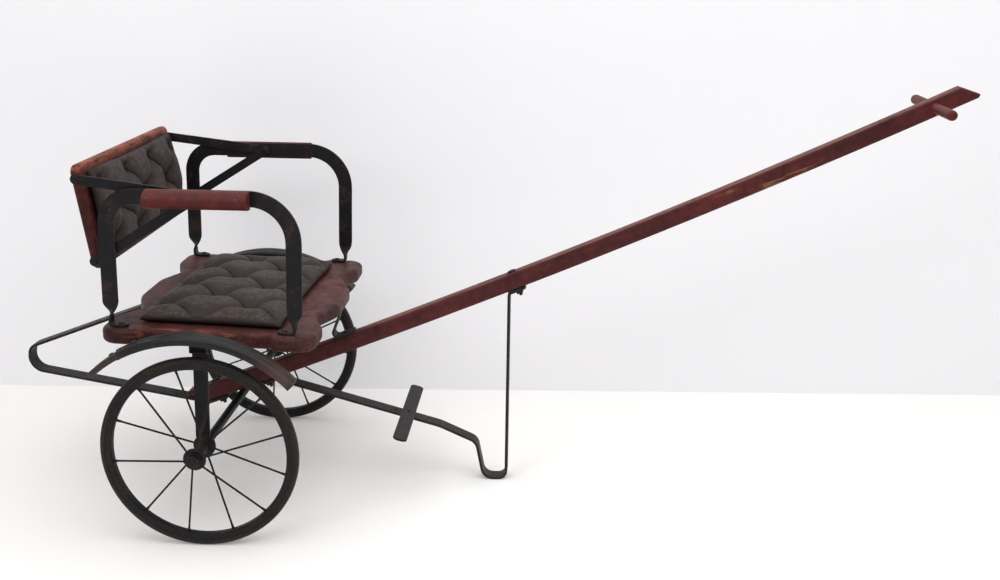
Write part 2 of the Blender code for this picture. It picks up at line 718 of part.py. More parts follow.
def make_axle_nuts(collection, parent):
    """Hexagon nut on each end of the axle."""
    spot = HALF_TRACK + HUB_HALF_LENGTH + RUNNING_GAP + AXLE_NUT_THICKNESS / 2
    corner_radius = AXLE_NUT_WIDTH / 2 / math.cos(math.pi / HEXAGON_SIDES)
    nut = rod_mesh("axle nut", corner_radius, AXLE_NUT_THICKNESS, HEXAGON_SIDES, AXLE_NUT_EDGE)
    bore_radius = JOURNAL_RADIUS + FIT_GAP
    bore = rod_mesh("axle nut bore", bore_radius, AXLE_NUT_THICKNESS + CUT_OVERRUN, ROUND_SIDES)
    mesh = union_mesh("axle nut", [nut], [bore])
    mesh = turn_mesh(mesh, Matrix.Rotation(QUARTER_TURN, 4, "X"))
    for side, sign in SIDES:
        place("axle_nut_" + side, mesh, IRON, collection, parent, (0, sign * spot, WHEEL_RADIUS))


def tyre_profile():
    """Section of the solid rubber tyre: a root in the rim's channel and a round crown."""
    root = RIM_HALF_WIDTH - RIM_WALL - FIT_GAP
    base = RIM_INNER_RADIUS + RIM_WALL + FIT_GAP
    shoulder = RIM_LIP_RADIUS + FIT_GAP
    half = [(base, root), (shoulder, root), (shoulder, TYRE_HALF_WIDTH)]
    centre = WHEEL_RADIUS - TYRE_CROWN_RADIUS
    for step in range(TYRE_CROWN_STEPS):
        angle = QUARTER_TURN * (1 - step / TYRE_CROWN_STEPS)
        half.append((centre + TYRE_CROWN_RADIUS * math.cos(angle),
                     TYRE_HALF_WIDTH * math.sqrt(math.sin(angle))))
    crown = [(WHEEL_RADIUS, 0)]
    return half + crown + [(r, -z) for r, z in reversed(half)]


def rim_profile():
    """Section of the rolled steel rim, a channel open outwards."""
    floor = RIM_INNER_RADIUS + RIM_WALL
    inner = RIM_HALF_WIDTH - RIM_WALL
    half = [
        (RIM_INNER_RADIUS, inner),
        (floor, RIM_HALF_WIDTH),
        (RIM_LIP_RADIUS, RIM_HALF_WIDTH),
        (RIM_LIP_RADIUS, inner),
        (floor, inner),
    ]
    return half + [(r, -z) for r, z in reversed(half)]


def hub_profile():
    """Section of the hub: a bored barrel with a spoke flange near each end."""
    bore = JOURNAL_RADIUS + RUNNING_GAP / 2
    outer = HUB_HALF_LENGTH - HUB_FLANGE_INSET
    inner = outer - HUB_FLANGE_THICKNESS
    half = [
        (bore, HUB_HALF_LENGTH),
        (HUB_BARREL_RADIUS, HUB_HALF_LENGTH),
        (HUB_BARREL_RADIUS, outer),
        (HUB_FLANGE_RADIUS, outer),
        (HUB_FLANGE_RADIUS, inner),
        (HUB_BARREL_RADIUS, inner),
    ]
    return half + [(r, -z) for r, z in reversed(half)]


def spokes_mesh():
    """Straight wire spokes that run alternately from the outer and the inner flange."""
    work = bmesh.new()
    flange = HUB_HALF_LENGTH - HUB_FLANGE_INSET - HUB_FLANGE_THICKNESS / 2
    first = math.pi / SPOKE_COUNT - math.pi / WHEEL_STEPS
    for index in range(SPOKE_COUNT):
        side = 1 if index % 2 == 0 else -1
        start = Vector((HUB_FLANGE_RADIUS - SPOKE_SEAT_DEPTH, 0, side * flange))
        end = Vector((RIM_INNER_RADIUS + RIM_WALL / 2, 0, 0))
        run = end - start
        aim = run.to_track_quat("Z", "Y").to_matrix().to_4x4()
        turn = Matrix.Rotation(first + 2 * math.pi * index / SPOKE_COUNT, 4, "Z")
        spot = turn @ Matrix.Translation((start + end) / 2) @ aim
        bmesh.ops.create_cone(work, cap_ends=True, segments=WIRE_SIDES, radius1=SPOKE_RADIUS,
                              radius2=SPOKE_RADIUS, depth=run.length, matrix=spot)
    mesh = bpy.data.meshes.new("spokes")
    work.to_mesh(mesh)
    work.free()
    return mesh


def make_wheels(collection, parent):
    """Two spoked wheels with solid tyres, free on the axle."""
    rim = turned_mesh("rim", rim_profile(), WHEEL_STEPS, True)
    hub = turned_mesh("hub", hub_profile(), ROUND_SIDES, True)
    wheel = union_mesh("wheel", [rim, spokes_mesh(), hub])
    tyre = turned_mesh("tyre", tyre_profile(), WHEEL_STEPS, True)
    for mesh in (wheel, tyre):
        turn_mesh(mesh, Matrix.Rotation(QUARTER_TURN, 4, "X"))
        smooth(mesh)
    for (side, sign), turn in zip(SIDES, (0, -LEFT_WHEEL_TURN)):
        spot = (0, sign * HALF_TRACK, WHEEL_RADIUS)
        body = place("wheel_" + side, wheel, IRON, collection, parent, spot, (0, turn, 0))
        place("tyre_" + side, tyre, RUBBER, collection, body)


def seat_half_edge(bulge, notch, lobe):
    """Half of the seat's front or rear edge: middle bulge, notch beside it, corner lobe."""
    wide = SEAT_HALF_WIDTH + LOBE_OUT
    return [
        (bulge, 0),
        (bulge, SEAT_HALF_WIDTH * BULGE_WIDTH_SHARE),
        (notch, SEAT_HALF_WIDTH * NOTCH_SIDE_SHARE),
        (lobe, SEAT_HALF_WIDTH * LOBE_INNER_SIDE_SHARE),
        (lobe, wide),
        (lobe - LOBE_LENGTH, wide),
        (lobe - LOBE_LENGTH - LOBE_OUT, SEAT_HALF_WIDTH),
    ]


def seat_outline():
    """Plan of the seat board: waved front and rear edges with a lobe at each corner."""
    front = seat_half_edge(SEAT_FRONT, NOTCH_FRONT, LOBE_FRONT)
    rear = seat_half_edge(SEAT_REAR, NOTCH_REAR, LOBE_REAR)
    half = front + [(-x, y) for x, y in reversed(rear)]
    radii = [BULGE_CORNER, NOTCH_CORNER, LOBE_INNER_CORNER, LOBE_CORNER, SIDE_CORNER, SIDE_CORNER]
    left = rounded_path(half, radii + radii[::-1])
    right = [Vector((p.x, -p.y)) for p in reversed(left[1:-1])]
    return left + right


def make_seat(collection, frame):
    """Wooden seat board with lobed corners."""
    mesh = outline_mesh("seat_board", seat_outline(), SEAT_THICKNESS)
    seat = place("seat_board", mesh, WOOD, collection, frame, (0, 0, SEAT_TOP - SEAT_THICKNESS / 2))
    add_bevel(seat, SEAT_EDGE_RADIUS, 2, PLATE_ANGLE)


def make_uprights(collection, frame):
    """Flat bar on each side, set a little behind its eye on the axle, to a flange under the seat."""
    top = SEAT_UNDERSIDE - FIT_GAP - UPRIGHT_THICKNESS / 2
    for side, sign in SIDES:
        corners = [(sign * UPRIGHT_Y, 0), (sign * UPRIGHT_Y, top), (sign * (UPRIGHT_Y - UPRIGHT_FLANGE), top)]
        path = rounded_path(corners, [UPRIGHT_BEND_RADIUS])
        strap = add_strap("upright_" + side, path, UPRIGHT_WIDTH, UPRIGHT_THICKNESS, None,
                          collection, None, across=(1, 0, 0))
        strap_mesh = turn_mesh(baked(strap), Matrix.Translation((-UPRIGHT_SETBACK, 0, 0)))
        eye = rod_mesh("eye", UPRIGHT_EYE_RADIUS, UPRIGHT_THICKNESS, ROUND_SIDES)
        bore = rod_mesh("eye bore", AXLE_RADIUS + FIT_GAP, UPRIGHT_THICKNESS + CUT_OVERRUN, ROUND_SIDES)
        for mesh in (eye, bore):
            turn_mesh(mesh, Matrix.Rotation(QUARTER_TURN, 4, "X"))
            turn_mesh(mesh, Matrix.Translation((0, sign * UPRIGHT_Y, 0)))
        mesh = union_mesh("upright_" + side, [strap_mesh, eye], [bore])
        place("upright_" + side, mesh, IRON, collection, frame)


def arm_top(x):
    """Height of the middle of the arm's top bar, which rises a little to the front."""
    rear = SEAT_TOP + ARM_REAR_HEIGHT - ARM_WIDTH / 2
    front = SEAT_TOP + ARM_FRONT_HEIGHT - ARM_WIDTH / 2
    return rear + (front - rear) * (x + ARM_REAR) / (ARM_REAR + ARM_FRONT)


def arm_stations():
    """Stations of the arm strap: place, direction across its width, and its width there."""
    low = SEAT_TOP + FIT_GAP + ARM_THICKNESS / 2
    hoop = rounded_path(
        [(-ARM_REAR, low + ARM_TWIST_LENGTH), (-ARM_REAR, arm_top(-ARM_REAR)),
         (ARM_FRONT, arm_top(ARM_FRONT)), (ARM_FRONT, low + ARM_TWIST_LENGTH)],
        [ARM_REAR_RADIUS, ARM_FRONT_RADIUS])
    stations = []
    for x, inward in ((-ARM_REAR, 1), (ARM_FRONT, -1)):
        leg = []
        foot = rounded_path([(x + inward * ARM_FOOT_LENGTH, low), (x, low), (x, low + ARM_FOOT_RISE)],
                            [ARM_FOOT_RADIUS])
        for point in foot:
            leg.append((point, 0.0, ARM_FOOT_WIDTH))
        rise = low + ARM_TWIST_LENGTH - foot[-1].y
        for step in range(1, ARM_TWIST_STEPS):
            share = step / ARM_TWIST_STEPS
            width = ARM_FOOT_WIDTH + (ARM_WIDTH - ARM_FOOT_WIDTH) * share
            leg.append((Vector((x, foot[-1].y + rise * share)), share, width))
        stations.append(leg)
    hoop_stations = [(point, 1.0, ARM_WIDTH) for point in hoop]
    return stations[0] + hoop_stations + list(reversed(stations[1]))


def arm_mesh(name):
    """Loft the arm's flat section through its stations, a quarter twist in each leg."""
    work = bmesh.new()
    stations = arm_stations()
    rings = []
    for index, (point, twist, width) in enumerate(stations):
        before = stations[max(index - 1, 0)][0]
        after = stations[min(index + 1, len(stations) - 1)][0]
        run = (after - before).normalized()
        normal = Vector((-run.y, 0, run.x))
        angle = twist * QUARTER_TURN
        across = Vector((0, 1, 0)) * math.cos(angle) + normal * math.sin(angle)
        through = Vector((0, -1, 0)) * math.sin(angle) + normal * math.cos(angle)
        centre = Vector((point.x, 0, point.y))
        ring = [work.verts.new(centre + across * width / 2 * a + through * ARM_THICKNESS / 2 * t)
                for a, t in ((-1, -1), (1, -1), (1, 1), (-1, 1))]
        rings.append(ring)
    for first, second in zip(rings, rings[1:]):
        for corner in range(4):
            after = (corner + 1) % 4
            work.faces.new((first[corner], first[after], second[after], second[corner]))
    work.faces.new(rings[0])
    work.faces.new(list(reversed(rings[-1])))
    bmesh.ops.recalc_face_normals(work, faces=work.faces)
    mesh = bpy.data.meshes.new(name)
    work.to_mesh(mesh)
    work.free()
    return mesh


def rivet_cutters(tools, frame):
    """Clearance hole for each arm's rivet."""
    cutters = {}
    length = 2 * (ARM_THICKNESS + 2 * STAY_THICKNESS + CUT_OVERRUN)
    for side, sign in SIDES:
        mesh = rod_mesh("rivet hole", RIVET_RADIUS + FIT_GAP, length, SHANK_SIDES)
        turn_mesh(mesh, Matrix.Rotation(QUARTER_TURN, 4, "X"))
        spot = (RIVET_PLACE, sign * UPPER_STAY_Y, arm_top(RIVET_PLACE))
        cutters[side] = hide_as_tool(place("rivet_hole_" + side, mesh, None, tools, frame, spot))
    return cutters


def make_arms(collection, frame, holes):
    """Iron arm on each side of the seat."""
    for side, sign in SIDES:
        arm = place("arm_" + side, arm_mesh("arm_" + side), IRON, collection, frame, (0, sign * ARM_Y, 0))
        add_boolean(arm, holes[side], "DIFFERENCE")


def make_armrests(collection, frame):
    """Half-round wooden strip on the outside of each arm's top."""
    half = ARMREST_HEIGHT / 2
    section = [(0, -half)]
    for step in range(HALF_ROUND_STEPS + 1):
        angle = math.pi * step / HALF_ROUND_STEPS - QUARTER_TURN
        section.append((ARMREST_EDGE / 2 + (ARMREST_DEPTH - ARMREST_EDGE / 2) * math.cos(angle),
                        half * math.sin(angle)))
    section.append((0, half))
    length = ARMREST_REAR + ARMREST_FRONT
    middle = (ARMREST_FRONT - ARMREST_REAR) / 2
    slope = math.atan2(ARM_FRONT_HEIGHT - ARM_REAR_HEIGHT, ARM_REAR + ARM_FRONT)
    away = ARM_Y + ARM_THICKNESS / 2 + FIT_GAP
    for side, sign in SIDES:
        points = [(sign * across, up) for across, up in section]
        mesh = outline_mesh("armrest_" + side, points, length)
        turn_mesh(mesh, Matrix(((0, 0, 1), (1, 0, 0), (0, 1, 0))).to_4x4())
        rest = place("armrest_" + side, mesh, WOOD, collection, frame,
                     (middle, sign * away, arm_top(middle) - ARMREST_DROP), (0, -slope, 0))
        add_bevel(rest, ARMREST_EDGE / 2, 2, PLATE_ANGLE)


def back_point(up, forward):
    """Point of the back panel's plane: up from its bottom edge and forward of its front face."""
    return Vector((BACK_BOTTOM_PLACE - math.sin(BACK_LEAN) * up + math.cos(BACK_LEAN) * forward,
                   BACK_BOTTOM_HEIGHT + math.cos(BACK_LEAN) * up + math.sin(BACK_LEAN) * forward))


def make_back(collection, frame):
    """Wooden back panel, leaning back behind the arms."""
    half_height, half_width = BACK_HEIGHT / 2, BACK_HALF_WIDTH
    corners = [(0, -half_height), (half_width, -half_height), (half_width, half_height),
               (-half_width, half_height), (-half_width, -half_height), (0, -half_height)]
    points = rounded_path(corners, [BACK_CORNER] * 4)[:-1]
    mesh = outline_mesh("back_panel", points, BACK_THICKNESS)
    turn_mesh(mesh, Matrix(((0, 0, 1), (1, 0, 0), (0, 1, 0))).to_4x4())
    spot = back_point(BACK_HEIGHT / 2, -BACK_THICKNESS / 2)
    panel = place("back_panel", mesh, WOOD, collection, frame, (spot.x, 0, spot.y), (0, -BACK_LEAN, 0))
    add_bevel(panel, BACK_EDGE, 1, PLATE_ANGLE)


def stay_mesh(name, length):
    """Flat bar with round ends, from the rivet at its origin along +X."""
    radius = STAY_WIDTH / 2
    points = []
    for centre, first in ((0, QUARTER_TURN), (length, -QUARTER_TURN)):
        for step in range(HALF_ROUND_STEPS + 1):
            angle = first + math.pi * step / HALF_ROUND_STEPS
            points.append((centre + radius * math.cos(angle), radius * math.sin(angle)))
    return upright_plate(name, points, STAY_THICKNESS)


def make_stays(collection, frame, holes):
    """Two stays on each side that hold the back panel from the arm's rivet."""
    rivet = Vector((RIVET_PLACE, arm_top(RIVET_PLACE)))
    for name, up, layer, end_layer in (
            ("upper_stay_", BACK_HEIGHT - UPPER_STAY_INSET, UPPER_STAY_Y, LOWER_STAY_Y),
            ("lower_stay_", LOWER_STAY_INSET, LOWER_STAY_Y, LOWER_STAY_Y)):
        end = back_point(up, -BACK_THICKNESS / 2)
        run = end - rivet
        pitch = math.atan2(-run.y, run.x)
        yaw = math.asin((layer - end_layer) / run.length)
        for side, sign in SIDES:
            mesh = stay_mesh(name + side, run.length)
            aim = Matrix.Rotation(pitch, 4, "Y") @ Matrix.Rotation(-sign * yaw, 4, "Z")
            stay = place(name + side, mesh, IRON, collection, frame, (rivet.x, sign * layer, rivet.y),
                         aim.to_euler())
            add_boolean(stay, holes[side], "DIFFERENCE")


def make_rivets(collection, frame):
    """Rivet through each arm and its two stays, a round head at both ends."""
    outer = ARM_Y + ARM_THICKNESS / 2 + FIT_GAP
    inner = LOWER_STAY_Y - STAY_THICKNESS / 2 - FIT_GAP
    shank_length = outer - inner
    middle = (outer + inner) / 2
    for side, sign in SIDES:
        shank = rod_mesh("rivet", RIVET_RADIUS, shank_length, SHANK_SIDES)
        head = rod_mesh("rivet head", RIVET_HEAD_RADIUS, RIVET_HEAD_HEIGHT, HEAD_SIDES, RIVET_HEAD_EDGE)
        turn_mesh(head, Matrix.Translation((0, 0, (shank_length + RIVET_HEAD_HEIGHT) / 2 - FIT_GAP / 2)))
        mesh = union_mesh("arm_rivet_" + side, [shank, head])
        turn_mesh(mesh, Matrix.Rotation(QUARTER_TURN * sign, 4, "X"))
        place("arm_rivet_" + side, mesh, IRON, collection, frame,
              (RIVET_PLACE, sign * middle, arm_top(RIVET_PLACE)))


def bent_section(crown, wide, skirt, ridge=()):
    """Section of a bent sheet: skirts, rounded shoulders and a crown, with a ridge if given."""
    shoulder = skirt / 2
    half = [(crown - skirt, wide)]
    for step in range(GUARD_SHOULDER_STEPS + 1):
        angle = QUARTER_TURN * step / GUARD_SHOULDER_STEPS
        half.append((crown - shoulder + shoulder * math.sin(angle),
                     wide - shoulder + shoulder * math.cos(angle)))
    half.extend(ridge)
    return half + [(r, -z) for r, z in reversed(half)]


def place_guard(name, sign, section, angles, steps, sheet, look, collection, frame):
    """Turn a section about the mudguard's centre from one angle to the next, and give it its sheet."""
    start, end = angles
    mesh = turned_mesh(name, section, steps, False, start, end - start)
    turn_mesh(mesh, Matrix.Rotation(QUARTER_TURN, 4, "X"))
    smooth(mesh)
    spot = (GUARD_CENTRE_PLACE, sign * HALF_TRACK, GUARD_CENTRE_HEIGHT)
    guard = place(name, mesh, look, collection, frame, spot)
    shell = guard.modifiers.new("sheet", "SOLIDIFY")
    shell.thickness = sheet
    shell.offset = 0
    shell.use_even_offset = True


def make_guards(collection, frame):
    """Ribbed sheet mudguard over each wheel."""
    crown = GUARD_CROWN_RADIUS - GUARD_SHEET / 2
    ridge = [(crown, GUARD_RIB_FOOT_HALF_WIDTH), (crown + GUARD_RIB_HEIGHT, GUARD_RIB_TOP_HALF_WIDTH)]
    section = bent_section(crown, GUARD_HALF_WIDTH - GUARD_SHEET / 2, GUARD_SKIRT, ridge)
    for side, sign in SIDES:
        place_guard("mudguard_" + side, sign, section, (GUARD_FRONT_ANGLE, GUARD_REAR_ANGLE),
                    GUARD_STEPS, GUARD_SHEET, GUARD_PAINT, collection, frame)


def make_guard_irons(collection, frame):
    """Narrow bent iron nested under the rear end of each mudguard, its tail sticking out behind."""
    crown = GUARD_CROWN_RADIUS - GUARD_SHEET - FIT_GAP - GUARD_IRON_SHEET / 2
    section = bent_section(crown, GUARD_IRON_HALF_WIDTH - GUARD_IRON_SHEET / 2, GUARD_IRON_SKIRT)
    for side, sign in SIDES:
        place_guard("guard_iron_" + side, sign, section, (GUARD_IRON_FRONT_ANGLE, GUARD_IRON_REAR_ANGLE),
                    GUARD_IRON_STEPS, GUARD_IRON_SHEET, IRON, collection, frame)


def make_guard_brackets(collection, frame):
    """Cranked strap from each upright out to the mudguard, its rear edge in line with the upright's."""
    thick = GUARD_BRACKET_THICKNESS
    on_upright = UPRIGHT_Y + UPRIGHT_THICKNESS / 2 + FIT_GAP + thick / 2
    on_guard = HALF_TRACK - GUARD_HALF_WIDTH - FIT_GAP - thick / 2
    guard_crown = GUARD_CENTRE_HEIGHT + math.sqrt(GUARD_CROWN_RADIUS ** 2 - GUARD_CENTRE_PLACE ** 2)
    guard_top = guard_crown - GUARD_SKIRT / 2
    crank = SEAT_UNDERSIDE - GUARD_BRACKET_DROP
    middle = (GUARD_BRACKET_WIDTH - UPRIGHT_WIDTH) / 2 - UPRIGHT_SETBACK
    for side, sign in SIDES:
        corners = [(sign * on_upright, crank - GUARD_BRACKET_FOOT), (sign * on_upright, crank - thick),
                   (sign * on_guard, crank + thick), (sign * on_guard, guard_top)]
        path = rounded_path(corners, [thick, thick])
        add_strap("guard_bracket_" + side, path, GUARD_BRACKET_WIDTH, thick, IRON, collection, frame,
                  across=(1, 0, 0), location=(middle, 0, 0))


def make_cushions(collection, frame):
    """Plain solids of the tufted seat pad and back pad."""
    size = (SEAT_PAD_LENGTH, 2 * (ARM_INNER - SEAT_PAD_SIDE_GAP), SEAT_PAD_HEIGHT)
    spot = (SEAT_PAD_SHIFT, -SEAT_PAD_OFFSIDE, SEAT_TOP + FIT_GAP + SEAT_PAD_HEIGHT / 2)
    pad = place("seat_cushion", box_mesh("seat_cushion", size), HIDE, collection, frame, spot,
                (0, 0, SEAT_PAD_TURN))
    add_bevel(pad, PAD_EDGE, 3)
    size = (BACK_PAD_DEPTH, 2 * (BACK_HALF_WIDTH - BACK_PAD_INSET), BACK_PAD_HEIGHT)
    middle = back_point(BACK_HEIGHT / 2, FIT_GAP + BACK_PAD_DEPTH / 2)
    pad = place("back_cushion", box_mesh("back_cushion", size), HIDE, collection, frame,
                (middle.x, 0, middle.y), (0, -BACK_LEAN, 0))
    add_bevel(pad, PAD_EDGE, 3)


def centre_on_ground(root, collection):
    """Slide the cart along X until the middle of its length is over the origin."""
    bpy.context.view_layer.update()
    graph = bpy.context.evaluated_depsgraph_get()
    places = []
    for item in collection.objects:
        if item.type == "MESH":
            shape = item.evaluated_get(graph)
            places.extend((item.matrix_world @ vertex.co).x for vertex in shape.data.vertices)
    root.location.x = -(min(places) + max(places)) / 2


def main():
    """Build the cart."""
    clear_scene()
    cart = make_collection("childs_pull_cart")
    tools = make_collection("cutters")
    root = place("cart_root", None, None, cart, None)
    frame = place("seat_frame", None, None, cart, root, (0, 0, WHEEL_RADIUS), (0, SEAT_TILT, 0))

    stand_rear = bolt_cutter("stand_rear_hole", STAND_REAR_BOLT, tools, root)
    stand_front = bolt_cutter("stand_front_hole", STAND_FRONT_BOLT, tools, root)
    loop_hole = bolt_cutter("loop_hole", LOOP_BOLT, tools, root)
    make_pole(cart, tools, root, [stand_rear, stand_front, loop_hole])
    make_handle(cart, root)
    make_stand(cart, root, [stand_rear, stand_front])
    make_footrest(cart, root)
    make_rear_loop(cart, root, [loop_hole])
    make_bolt("stand_rear_bolt", STAND_REAR_BOLT, FIT_GAP + STAND_THICKNESS, cart, root)
    make_bolt("stand_front_bolt", STAND_FRONT_BOLT, FIT_GAP + STAND_THICKNESS, cart, root)
    make_bolt("loop_bolt", LOOP_BOLT, FIT_GAP + LOOP_THICKNESS, cart, root)
    make_seat_bracket(cart, root)

    make_axle(cart, root)
    make_axle_nuts(cart, root)
    make_wheels(cart, root)

    make_uprights(cart, frame)
    make_seat(cart, frame)
    holes = rivet_cutters(tools, frame)
    make_arms(cart, frame, holes)
    make_armrests(cart, frame)
    make_back(cart, frame)
    make_stays(cart, frame, holes)
    make_rivets(cart, frame)
    make_guards(cart, frame)
    make_guard_irons(cart, frame)
    make_guard_brackets(cart, frame)
    make_cushions(cart, frame)
    centre_on_ground(root, cart)


main()
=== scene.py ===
"""Looks of the child's pull cart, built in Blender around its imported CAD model."""

import logging
import math
from dataclasses import dataclass, field
from enum import Enum
from typing import Any, Callable, Iterable, Sequence

import bmesh
import bpy
from mathutils import Matrix, Vector, noise

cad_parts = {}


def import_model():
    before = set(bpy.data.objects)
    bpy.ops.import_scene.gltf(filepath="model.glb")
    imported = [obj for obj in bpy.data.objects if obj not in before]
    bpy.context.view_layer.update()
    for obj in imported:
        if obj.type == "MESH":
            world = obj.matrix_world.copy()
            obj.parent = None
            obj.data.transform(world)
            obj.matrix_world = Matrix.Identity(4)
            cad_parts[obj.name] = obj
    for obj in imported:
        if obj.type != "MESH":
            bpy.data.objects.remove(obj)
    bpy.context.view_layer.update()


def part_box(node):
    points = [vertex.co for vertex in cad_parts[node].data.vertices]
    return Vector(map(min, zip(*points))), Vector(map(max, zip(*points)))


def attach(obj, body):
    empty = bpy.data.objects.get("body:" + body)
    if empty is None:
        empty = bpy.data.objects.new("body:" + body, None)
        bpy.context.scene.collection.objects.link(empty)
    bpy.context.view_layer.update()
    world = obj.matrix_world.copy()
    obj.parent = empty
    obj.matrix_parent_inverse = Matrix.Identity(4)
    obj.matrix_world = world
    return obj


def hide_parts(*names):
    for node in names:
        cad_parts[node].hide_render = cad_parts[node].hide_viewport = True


logging.basicConfig(level=logging.INFO, format="%(message)s")
log = logging.getLogger("pull_cart")

MM = 0.001
QUARTER = math.radians(90.0)
FULL_TURN = math.radians(360.0)
WELD = 0.00001
FIT_GAP = 0.3 * MM

WHEEL_RADIUS = 152.5 * MM
HALF_TRACK = 258.0 * MM
SEAT_TILT = math.radians(2.45)
SEAT_TOP = 181.2 * MM
SEAT_THICKNESS = 24.5 * MM
SEAT_UNDERSIDE = SEAT_TOP - SEAT_THICKNESS
FLAT_BAR = 4.8 * MM
STAND_KNEE = (339.0 * MM, 98.0 * MM)
LOOP_LOW_CORNER = (-368.2 * MM, 195.6 * MM)
SEAT_HALF_WIDTH = 223.4 * MM
ARM_Y = SEAT_HALF_WIDTH - 9.0 * MM
ARM_THICKNESS = 4.0 * MM
ARM_INNER = ARM_Y - ARM_THICKNESS / 2
STAY_THICKNESS = 3.0 * MM
UPPER_STAY_Y = ARM_INNER - FIT_GAP - STAY_THICKNESS / 2
LOWER_STAY_Y = UPPER_STAY_Y - STAY_THICKNESS - 0.8 * MM
BACK_HALF_WIDTH = LOWER_STAY_Y - STAY_THICKNESS / 2 - FIT_GAP

# Matrices that put a flat path (x, y) across the cart and up, and along the cart and up
ACROSS_UP = Matrix(((0, 0, 1, 0), (1, 0, 0, 0), (0, 1, 0, 0), (0, 0, 0, 1)))
ALONG_UP = Matrix(((1, 0, 0, 0), (0, 0, -1, 0), (0, 1, 0, 0), (0, 0, 0, 1)))

Colour = tuple[float, float, float]
Profile = list[tuple[float, float]]
Number = "Link | float | int"


class Side(Enum):
    """Side of the cart, by the sign of its Y."""

    RIGHT = -1
    LEFT = 1

    @property
    def tag(self) -> str:
        """The side's word in the node names."""
        return self.name.lower()

    @property
    def wheel_body(self) -> str:
        """The name of the body of this side's wheel."""
        return self.tag + "_wheel"


def from_srgb(red: int, green: int, blue: int) -> Colour:
    """Turn screen values into a linear colour.

    Args:
        red: Red from 0 to 255.
        green: Green from 0 to 255.
        blue: Blue from 0 to 255.

    Returns:
        The linear colour.
    """
    shares = (channel / 255 for channel in (red, green, blue))
    return tuple(s / 12.92 if s <= 0.04045 else ((s + 0.055) / 1.055) ** 2.4 for s in shares)


# Shader maths


class Link:
    """A value on its way through a node tree, with operators that add Math nodes."""

    def __init__(self, graph: "Graph", socket: bpy.types.NodeSocket) -> None:
        """Keep the socket and the graph it belongs to."""
        self.graph = graph
        self.socket = socket

    def __add__(self, other: Number) -> "Link":
        """Return the sum."""
        return self.graph.maths("ADD", self, other)

    __radd__ = __add__

    def __sub__(self, other: Number) -> "Link":
        """Return the difference."""
        return self.graph.maths("SUBTRACT", self, other)

    def __rsub__(self, other: Number) -> "Link":
        """Return the difference the other way round."""
        return self.graph.maths("SUBTRACT", other, self)

    def __mul__(self, other: Number) -> "Link":
        """Return the product."""
        return self.graph.maths("MULTIPLY", self, other)

    __rmul__ = __mul__

    def clamped(self) -> "Link":
        """Return the value held between 0 and 1."""
        return self.graph.maths("MINIMUM", self.graph.maths("MAXIMUM", self, 0.0), 1.0)

    def most(self, other: Number) -> "Link":
        """Return the larger of the two."""
        return self.graph.maths("MAXIMUM", self, other)

    def between(self, low: float, high: float) -> "Link":
        """Return a smooth step from 0 at low to 1 at high.

        Args:
            low: Value at which the step starts.
            high: Value at which the step is over.

        Returns:
            The stepped value.
        """
        settings = {"interpolation_type": "SMOOTHSTEP"}
        inputs = {"Value": self, "From Min": low, "From Max": high}
        return self.graph.out("ShaderNodeMapRange", settings, inputs, "Result")


